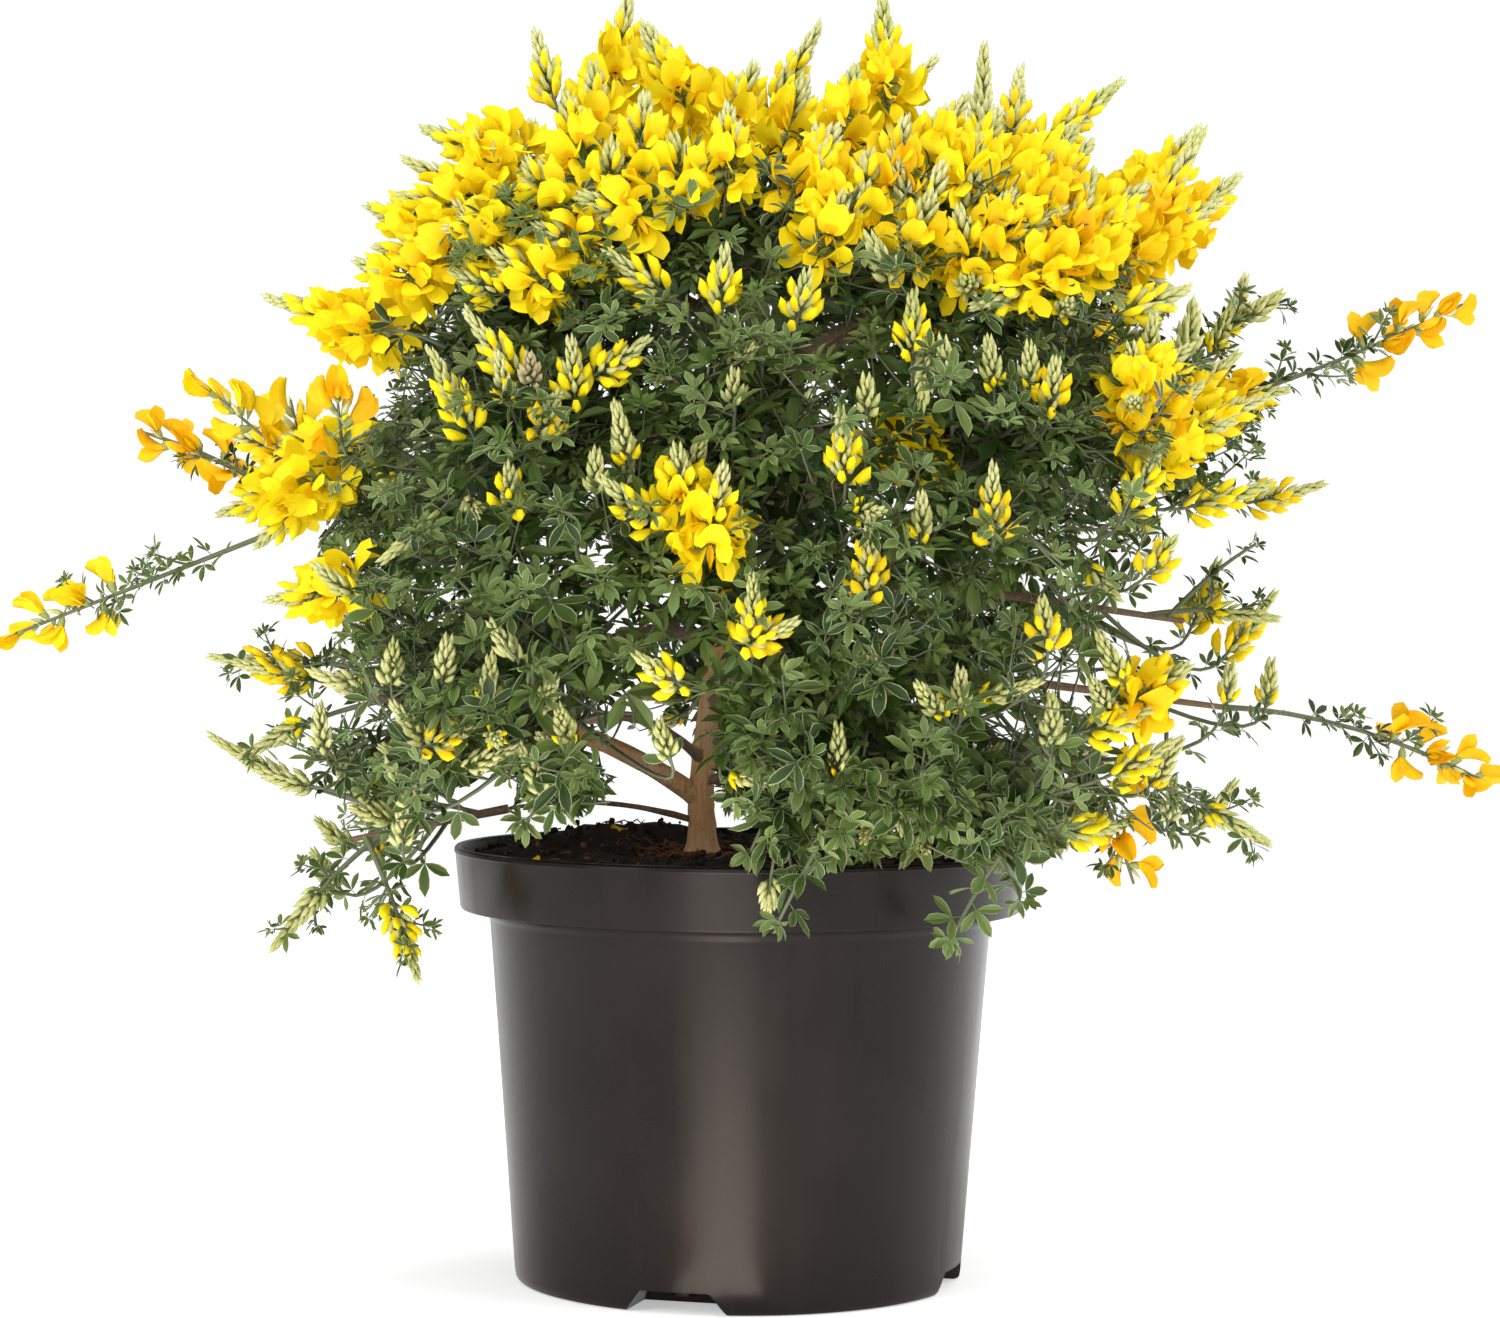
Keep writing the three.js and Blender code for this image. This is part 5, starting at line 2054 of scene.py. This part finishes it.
@dataclass
class Wood:
    """The trunk and the boughs, with the relief of their bark."""

    limbs: Limbs
    trunk_sides: int = 36
    trunk_rows: int = 190
    trunk_crowd: float = 1.25
    trunk_shift: float = 3.1
    trunk_girth: float = 0.84
    bough_sides: int = 14
    bough_rows: int = 40
    bough_shift: float = 7.3
    tip_girth: float = 0.05
    girths: tuple[tuple[str, float], ...] = (
        ("low_left", 1.45), ("hang_left", 0.42), ("hang_front_right", 0.65), ("low_right", 0.8),
        ("low_front_left", 0.7))

    def wrap(self, curve: Curve, radius_at: Callable, sides: int, rows: int,
             crowd: float, shift: float, level: bool) -> Piece:
        """Model a limb: a grid rolled round its line, with fibres and knots raised on it.

        Args:
            curve: the limb's line.
            radius_at: gives the radius at a share of it.
            sides: the faces round it.
            rows: the faces along it.
            crowd: how much the rows crowd to its root.
            shift: where in the noise it starts, so that no two limbs are alike.
            level: whether its root is cut level.

        Returns:
            The limb.
        """
        only()
        bpy.ops.mesh.primitive_grid_add(x_subdivisions=rows, y_subdivisions=sides, size=2)
        piece = bpy.context.object
        length = curve.length()
        lines: dict[int, tuple] = {}
        for corner in piece.data.vertices:
            row = round((corner.co.x + 1) / 2 * rows)
            if row not in lines:
                share = min((row / rows) ** crowd, 1.0)
                along = UP if level and row == 0 else curve.tangent(share)
                side = unit(np.cross(SIDEWAYS, along))
                lines[row] = (curve.at(share), side, np.cross(along, side), share)
            centre, side, other, share = lines[row]
            angle = (corner.co.y + 1) * math.pi
            ring = side * math.cos(angle) + other * math.sin(angle)
            radius = radius_at(share) * self.relief(angle, share * length, shift)
            radius *= self.tip_girth if row == rows else 1
            corner.co = Vector(centre + ring * radius) * METRE
        with edit_mode():
            pick_all()
            bpy.ops.mesh.remove_doubles(threshold=1e-7)
            bpy.ops.mesh.region_to_loop()
            bpy.ops.mesh.edge_face_add()
            face_outward()
        bpy.ops.object.shade_smooth()
        return piece

    def relief(self, angle: float, height: float, shift: float) -> float:
        """The bark's relief at a place on a limb, as a factor of its radius.

        Args:
            angle: the place round the limb.
            height: the distance from its root.
            shift: where in the noise the limb starts.

        Returns:
            A number close to 1.
        """
        round_it = Vector((math.cos(angle), math.sin(angle), 0))
        fibres = noise.noise(round_it * 4.5 + Vector((shift, 0, height / 22)))
        ridges = noise.noise(round_it * 9 + Vector((0, shift, height / 9)))
        knots = max(0.0, noise.noise(round_it * 1.2 + Vector((shift, 5, height / 11))) - 0.28)
        lobes = math.exp(-height / 9) * math.cos(angle * 5 + shift) * 0.1
        return 1 + fibres * 0.1 + ridges * 0.05 + knots * 0.45 + lobes

    def build(self) -> None:
        """Model the trunk and the boughs and dress them."""
        limbs, girths, pieces = self.limbs, dict(self.girths), []
        trunk = self.wrap(limbs.trunk, lambda share: limbs.trunk_radius(share) * self.trunk_girth,
                          self.trunk_sides, self.trunk_rows, self.trunk_crowd, self.trunk_shift,
                          True)
        trunk.name = trunk.data.name = "trunk_wood"
        trunk.data.materials.append(TRUNK_BARK.material())
        hand_over(trunk, ["trunk"])
        for own, (mass, bough) in enumerate(zip(MASSES, limbs.boughs)):
            if bough:
                girth = girths.get(mass.name, 1)
                piece = self.wrap(bough, lambda share: limbs.bough_radius(share) * girth,
                                  self.bough_sides, self.bough_rows, 1, own * self.bough_shift,
                                  False)
                piece.data.materials.append((TRUNK_BARK if girth > 1 else TWIG_BARK).material())
                pieces.append(piece)
        boughs = as_one(pieces)
        boughs.name = boughs.data.name = "bough_wood"
        hand_over(boughs, [f"bough_{mass.name}" for mass in MASSES if mass.leaves])


@dataclass(frozen=True)
class Blossom:
    """What stands on a shoot's tip: flowers, then clubs, which are opening buds, then buds.

    Numbers are those at its length, and pairs are the values at the foot and the top of a kind.
    """

    length: float
    flowers: float = 0
    clubs: float = 0
    buds: float = 0
    sparse: bool = False
    patterns: tuple[int, int] = (0, 3)
    flower_span: float = 0.46
    flower_lean: Pair = (102, 60)
    flower_sizes: Pair = (1.08, 0.87)
    club_span: Pair = (0.4, 0.68)
    club_lean: Pair = (42, 24)
    club_sizes: Pair = (1.08, 0.85)
    buds_from: float = 0.45
    bud_lean: Pair = (32, 5)
    bud_sizes: Pair = (1.05, 0.6)

    def counts(self, extent: float) -> tuple[int, int, int]:
        """How many flowers, clubs and buds a length has. A sparse one keeps its few buds."""
        full, tip = extent / self.length, 1 if self.sparse else extent / self.length
        return round(self.flowers * full), round(self.clubs * tip), round(self.buds * tip)


BLOSSOMS = {
    FULL: Blossom(44, 17, 9, 30),
    LOOSE: Blossom(46, 8.36, 2, 3, sparse=True, patterns=(2, 4), flower_span=0.95,
                   flower_lean=(78, 40)),
    OPENING: Blossom(30, 0, 13, 32, club_span=(0, 0.58), club_sizes=(1, 0.76), buds_from=0.14),
    BUD: Blossom(26, 0, 0, 34, buds_from=0),
}


class Raceme:
    """The axis of one blossom, with its flowers and buds in a spiral round it."""

    def __init__(self, axis: Curve, kind: Blossom, random: Seeded) -> None:
        """Start the spiral at a random turn."""
        self.axis, self.kind, self.random = axis, kind, random
        self.turn = random.angle()

    def add(self, piece: Scatter, pattern: Pattern, share: float, lean: float, size: float,
            palette: tuple[int, int, int]) -> None:
        """Set one flower or bud.

        Args:
            piece: the piece that it goes into.
            pattern: what is set.
            share: the place along the axis.
            lean: how far it leans from the axis, in degrees.
            size: its scale.
            palette: the number of the finish of each of its parts.
        """
        random, lean, share = self.random, math.radians(lean), min(share, 1)
        self.turn += GOLDEN_ANGLE * random.between(0.92, 1.08)
        along = self.axis.tangent(share)
        side = across(along, self.turn)
        way = along * math.cos(lean) + side * math.sin(lean)
        droop = UP * (-0.3 if self.kind.sparse else max(lean - 1, 0) * 0.5)
        piece.add(pattern, self.axis.at(share) + side * 0.5, unit(way) - droop, along + UP * 0.4,
                  size * random.between(0.9, 1.1), palette)


@dataclass
class Foliage:
    """The twigs, leaves, flowers and buds that stand for the crown's masses."""

    growth: Growth
    leaf_length: float = 13.5
    leaf_stretch: Pair = (0.86, 1.14)
    low_under: float = 250
    low_size: float = 1.08
    outer_size: float = 0.66
    lead_leaf_length: float = 8
    leaf_spacing: float = 7.6
    lead_spacing: float = 0.75
    inner_spacing: float = 1.9
    leaf_angle: float = math.radians(56)
    tuft: int = 4
    tuft_size: float = 0.55
    probes: Pair = (0.7, 1.3)
    beyond: float = 7
    top_beyond: float = -6
    leaf_room: float = -7
    leaf_thickness: float = 0.3
    fine_from: float = 0.88
    plain_from: float = 40
    fine_share: float = 0.2
    fine_raceme: float = 0.8
    raceme_from: float = 0.35
    plump: Pair = (1.05, 1.22)
    leaf_blades: Chances = ((0.3, 0), (0.45, 1), (0.25, 2))
    # painted light: shoots low in the crown take the paler greens more often, to look lit
    low_painted_lit_blades: Chances = ((0.15, 0), (0.45, 1), (0.4, 2))
    seed: int = 40961

    def __post_init__(self) -> None:
        """Model the patterns and start the pieces."""
        self.random = Seeded(self.seed)
        self.leaves_fine = [LeafPattern(*form).model() for form in (
            (0.37, 0.3, 0.14), (0.33, 0.5, 0.24), (0.41, 0.16, 0.05), (0.36, 0.42, -0.08))]
        self.leaves_plain = [LeafPattern(0.37, fold, curl, fine=False).model()
                             for fold, curl in ((0.3, 0.12), (0.45, 0.22))]
        self.flowers = [FlowerPattern(openness).model() for openness in (1, 0.8, 0.45, 0.12)]
        self.club = BudPattern(12.5, 2.2, 1.4, 0.3, 1.45, 4, 5).model()
        self.bud = BudPattern(8.2, 1.35, 0.6, 0.42, 0.8).model()
        self.leaf_pieces, self.flower_pieces, self.bud_pieces, self.twig_pieces = (
            {zone: kind(f"{name}_{zone.value}", finishes) for zone in Zone}
            for name, kind, finishes in (
                ("leaves", Scatter, LEAF_FINISHES), ("flowers", Scatter, BLOSSOM_FINISHES),
                ("buds", Scatter, BLOSSOM_FINISHES), ("twigs", Tubes, (TWIG_BARK, GREEN_TWIG))))

    def has_room(self, shoot: Shoot, root: Array, probe: Array) -> bool:
        """Whether a leaf has room on a shoot.

        Args:
            shoot: the shoot.
            root: where the leaf stands.
            probe: two points in it.

        Returns:
            True if it does.
        """
        crown, upper = self.growth.crown, MASSES[shoot.own].upper
        beyond = self.top_beyond if upper and root[1] < 0 else self.beyond
        free = shoot.lead or (shoot.spike and not upper)
        return (free or (crown.depth(probe, beyond).max() <= 1 and crown.outline.holds(probe).all())
                ) and self.growth.allowed(probe, shoot.own, self.leaf_room, self.leaf_thickness)

    def leaf(self, shoot: Shoot, share: float, turn: float, size: float, angle: float,
             blade: int) -> None:
        """Set one leaf on a shoot, if it has room.

        Args:
            shoot: the shoot.
            share: the place along it.
            turn: the angle round it.
            size: the length of its leaflets.
            angle: how far it stands off the shoot.
            blade: the number of its finish.
        """
        random, crown = self.random, self.growth.crown
        along, root = shoot.curve.tangent(share), shoot.curve.at(share)
        side = across(along, turn)
        way = unit(along * math.cos(angle) + side * math.sin(angle) + UP * 0.08)
        if not self.has_room(shoot, root, root + way * size * np.array(self.probes)[:, None]):
            return
        if not shoot.lead and random() < crown.outline.openness(root):
            return
        out = unit(root - point(crown.centre))
        facing = out * 0.55 + UP * 0.75 + random.vector() * 0.9
        fine = crown.depth(root[None])[0] > self.fine_from
        fine = fine and (root[1] < self.plain_from or random() < self.fine_share)
        patterns = self.leaves_fine if fine else self.leaves_plain
        pattern = patterns[int(random() * len(patterns))]
        self.leaf_pieces[MASSES[shoot.own].zone].add(
            pattern, root, way, facing, size, (blade, EDGE, STALK))

    def leaves(self, shoot: Shoot, first: float, last: float) -> None:
        """Set the leaves of a shoot in a spiral, with a tuft of small ones at a leafy tip.

        Args:
            shoot: the shoot.
            first: the share of the first leaf.
            last: the share of the last one.
        """
        random, length, tip = self.random, shoot.curve.length(), shoot.curve.at(1)
        turn, low = random.angle(), tip[2] < self.low_under
        # painted light: low shoots draw from the paler greens more often
        blade = random.chosen(self.low_painted_lit_blades if low else self.leaf_blades)
        outer = within((abs(tip[0]) - 90) / 80, 0, 1)
        whole = self.leaf_length * random.between(*self.leaf_stretch)
        whole *= mix(self.low_size if low else 1, self.outer_size, outer)
        if shoot.lead and (shoot.end is not LEAF or shoot.fine):
            whole = self.lead_leaf_length
        spacing = self.leaf_spacing * whole / self.leaf_length
        spacing *= self.lead_spacing if shoot.lead else 1
        share = first
        while share < last:
            turn += GOLDEN_ANGLE * random.between(0.9, 1.1)
            size = whole * mix(1.1, 0.74, share) * random.between(0.86, 1.12)
            self.leaf(shoot, share, turn, size, self.leaf_angle, blade)
            deep = self.growth.crown.depth(shoot.curve.at(share)[None])[0] < self.fine_from
            share += spacing / length * (self.inner_spacing if deep else 1)
        if shoot.end is LEAF:
            for order in range(self.tuft):
                turn += GOLDEN_ANGLE
                self.leaf(shoot, 0.97 + 0.01 * order, turn, whole * self.tuft_size,
                          math.radians(30 + 8 * order), min(blade + 1, 2))

    def petal(self, shoot: Shoot) -> int:
        """Choose the yellow of a shoot's petals.

        Args:
            shoot: the shoot.

        Returns:
            The number of the finish.
        """
        chances = ((0.8, LEMON), (0.2, YELLOW))
        if shoot.end is LOOSE:
            chances = ((0.55, YELLOW), (0.45, ORANGE))
        elif MASSES[shoot.own].zone in (Zone.LEFT, Zone.RIGHT):
            chances = ((0.5, LEMON), (0.5, YELLOW))
        return self.random.chosen(chances)

    def raceme(self, shoot: Shoot) -> float:
        """Set the blossom at a shoot's tip.

        Args:
            shoot: the shoot.

        Returns:
            The share of the shoot where the blossom starts.
        """
        random, mass, kind = self.random, MASSES[shoot.own], BLOSSOMS[shoot.end]
        flowers, buds = self.flower_pieces[mass.zone], self.bud_pieces[mass.zone]
        extent = kind.length * (self.fine_raceme if shoot.fine else 1)
        start = max(1 - extent / shoot.curve.length(), self.raceme_from)
        axis = shoot.spike or Bend(*(shoot.curve.at(at) for at in (start, (start + 1) / 2, 1)))
        petal = self.petal(shoot)
        rosy = shoot.end is BUD and shoot.fine and random() < 0.1
        tipped = not rosy and random() < 0.5 and shoot.end is BUD
        raceme = Raceme(axis, kind, random)
        flower_count, club_count, bud_count = kind.counts(axis.length())
        for order in range(flower_count):
            share = order / flower_count
            pattern = self.flowers[int(random.between(*kind.patterns))]
            shade = petal if random() > 0.07 else min(petal + 1, ORANGE)
            raceme.add(flowers, pattern, share * kind.flower_span, mix(*kind.flower_lean, share),
                       mix(*kind.flower_sizes, share), (shade, THROAT, CALYX))
        for order in range(club_count):
            share = order / club_count
            raceme.add(buds, self.club, mix(*kind.club_span, share), mix(*kind.club_lean, share),
                       mix(*kind.club_sizes, share), (petal, THROAT, CALYX))
        for order in range(bud_count):
            share = order / bud_count
            body = petal if tipped and order < 4 else ROSE if rosy else PALE
            raceme.add(buds, self.bud, mix(kind.buds_from, 1, share), mix(*kind.bud_lean, share),
                       mix(*kind.bud_sizes, share) * self.plump[mass.upper],
                       (body, THROAT, CALYX if share < 0.6 else PALE))
        self.twig_pieces[mass.zone].add(axis.points(4), np.linspace(0.7, 0.4, 5), 4, 1)
        return 0.97 if shoot.spike else start

    def build(self) -> None:
        """Grow everything that stands for the masses, and hand each piece over."""
        limbs, twigs = self.growth.limbs, self.twig_pieces
        for own, stem in enumerate(limbs.stems):
            line = stem.points(8)
            line[0] -= stem.tangent(0) * 1.2
            twigs[MASSES[own].zone].add(line, np.linspace(*limbs.STEM_RADII, 9), 8, 0)
        for shoot in self.growth.grow():
            rows, sides, first = (4, 3, 0.12) if shoot.fine else (8, 5, 0.3)
            twigs[MASSES[shoot.own].zone].add(
                shoot.curve.points(rows), np.linspace(*shoot.radii, rows + 1), sides, 1)
            leafy = shoot.end is LEAF
            last = 0.97 if leafy else min(self.raceme(shoot) + 0.06, 0.99)
            self.leaves(shoot, first, last)
        for zone in Zone:
            nodes = [mass.node for mass in MASSES if mass.zone is zone]
            hand_over(self.twig_pieces[zone].write(), nodes)
            hand_over(self.leaf_pieces[zone].write(), nodes)
            for pieces in (self.flower_pieces, self.bud_pieces):
                if pieces[zone].rows:
                    hand_over(pieces[zone].write(), nodes)


@dataclass
class Studio:
    """The pale floor, the soft light and the camera."""

    camera_at: Point = (0, -1.6, 0.283)
    lens: float = 97.68
    pitch: float = -1.41
    yaw: float = -0.0985
    roll: float = -0.44
    sky: float = 0.54
    backdrop: float = 1.1
    boxes: tuple[tuple, ...] = (
        ("top_box", (0.2, -0.5, 2.1), (0, 0, 0.3), (1.8, 1.8), 24),
        ("left_box", (-1.7, -1.5, 1.1), (0, 0, 0.3), (1.0, 1.4), 26),
        ("right_box", (1.9, -0.9, 1.0), (0, 0, 0.3), (0.8, 1.4), 12),
        ("front_box", (-0.3, -2.4, 0.6), (0, 0, 0.2), (1.0, 0.8), 6),
        ("edge_box", (1.1, 0.85, 0.35), (0, 0, 0.15), (0.7, 1.0), 10))
    strip_height: float = 0.004
    strip_tint: Colour = (1.0, 0.86, 0.76)
    strips: tuple[tuple[float, ...], ...] = (
        (-0.011, -0.128, 0.046, 0.06, 0.06), (-0.021, -0.198, 0.084, 0.08, 0.14),
        (-0.034, -0.29, 0.13, 0.1, 0.19))

    def softbox(self, name: str, at: Point, aim: Point, size: Pair,
                power: float, tint: Colour = (1, 1, 1)) -> None:
        """Hang a soft light.

        Args:
            name: its name.
            at: its place.
            aim: the point that it faces.
            size: its width and height in metres.
            power: its power in watts.
            tint: its colour.
        """
        light = bpy.data.lights.new(name, "AREA")
        light.shape, light.size, light.size_y = "RECTANGLE", *size
        light.energy, light.color = power, tint
        lamp = bpy.data.objects.new(name, light)
        lamp.location = at
        lamp.rotation_euler = (Vector(aim) - Vector(at)).to_track_quat("-Z", "Y").to_euler()
        lamp.visible_camera = False
        bpy.context.scene.collection.objects.link(lamp)

    def air(self) -> None:
        """Light the air evenly, and brighter where the camera looks past everything."""
        world = bpy.data.worlds.new("studio")
        world.use_nodes = True
        tree = world.node_tree
        back = tree.nodes["Background"]
        back.inputs["Color"].default_value = (1, 1, 1, 1)
        rays = tree.nodes.new("ShaderNodeLightPath")
        strength = tree.nodes.new("ShaderNodeMapRange")
        strength.inputs["To Min"].default_value = self.sky
        strength.inputs["To Max"].default_value = self.backdrop
        tree.links.new(rays.outputs["Is Camera Ray"], strength.inputs["Value"])
        tree.links.new(strength.outputs[0], back.inputs["Strength"])
        bpy.context.scene.world = world

    def camera(self) -> None:
        """Set the camera."""
        scene, lens = bpy.context.scene, bpy.data.cameras.new("camera")
        lens.lens, lens.sensor_width = self.lens, 36
        camera = bpy.data.objects.new("camera", lens)
        camera.location = self.camera_at
        turns = (90 + self.pitch, self.roll, self.yaw)
        camera.rotation_euler = [math.radians(turn) for turn in turns]
        scene.collection.objects.link(camera)
        scene.camera = camera
        scene.view_settings.view_transform = "Standard"

    def build(self) -> None:
        """Lay the floor, hang the lights and set the camera."""
        only()
        bpy.ops.mesh.primitive_circle_add(vertices=96, radius=3, fill_type="NGON")
        floor = bpy.context.object
        floor.name = floor.data.name = "floor"
        floor.data.materials.append(FLOOR_PAPER.material())
        self.air()
        for box in self.boxes:
            self.softbox(*box)
        for order, (x, y, wide, deep, power) in enumerate(self.strips):
            self.softbox(f"strip_{order}", (x, y, self.strip_height), (x, y, 1), (wide, deep),
                         power, self.strip_tint)
        self.camera()


def main() -> None:
    """Build the pot, the soil, the wood, the crown and the studio, and note the sizes."""
    logging.basicConfig(level=logging.INFO, format="%(name)s %(message)s")
    limbs = Limbs()
    NurseryPot().build()
    SoilFill().build()
    Wood(limbs).build()
    Foliage(Growth(limbs, Crown())).build()
    Studio().build()


if __name__ == "__main__":
    main()
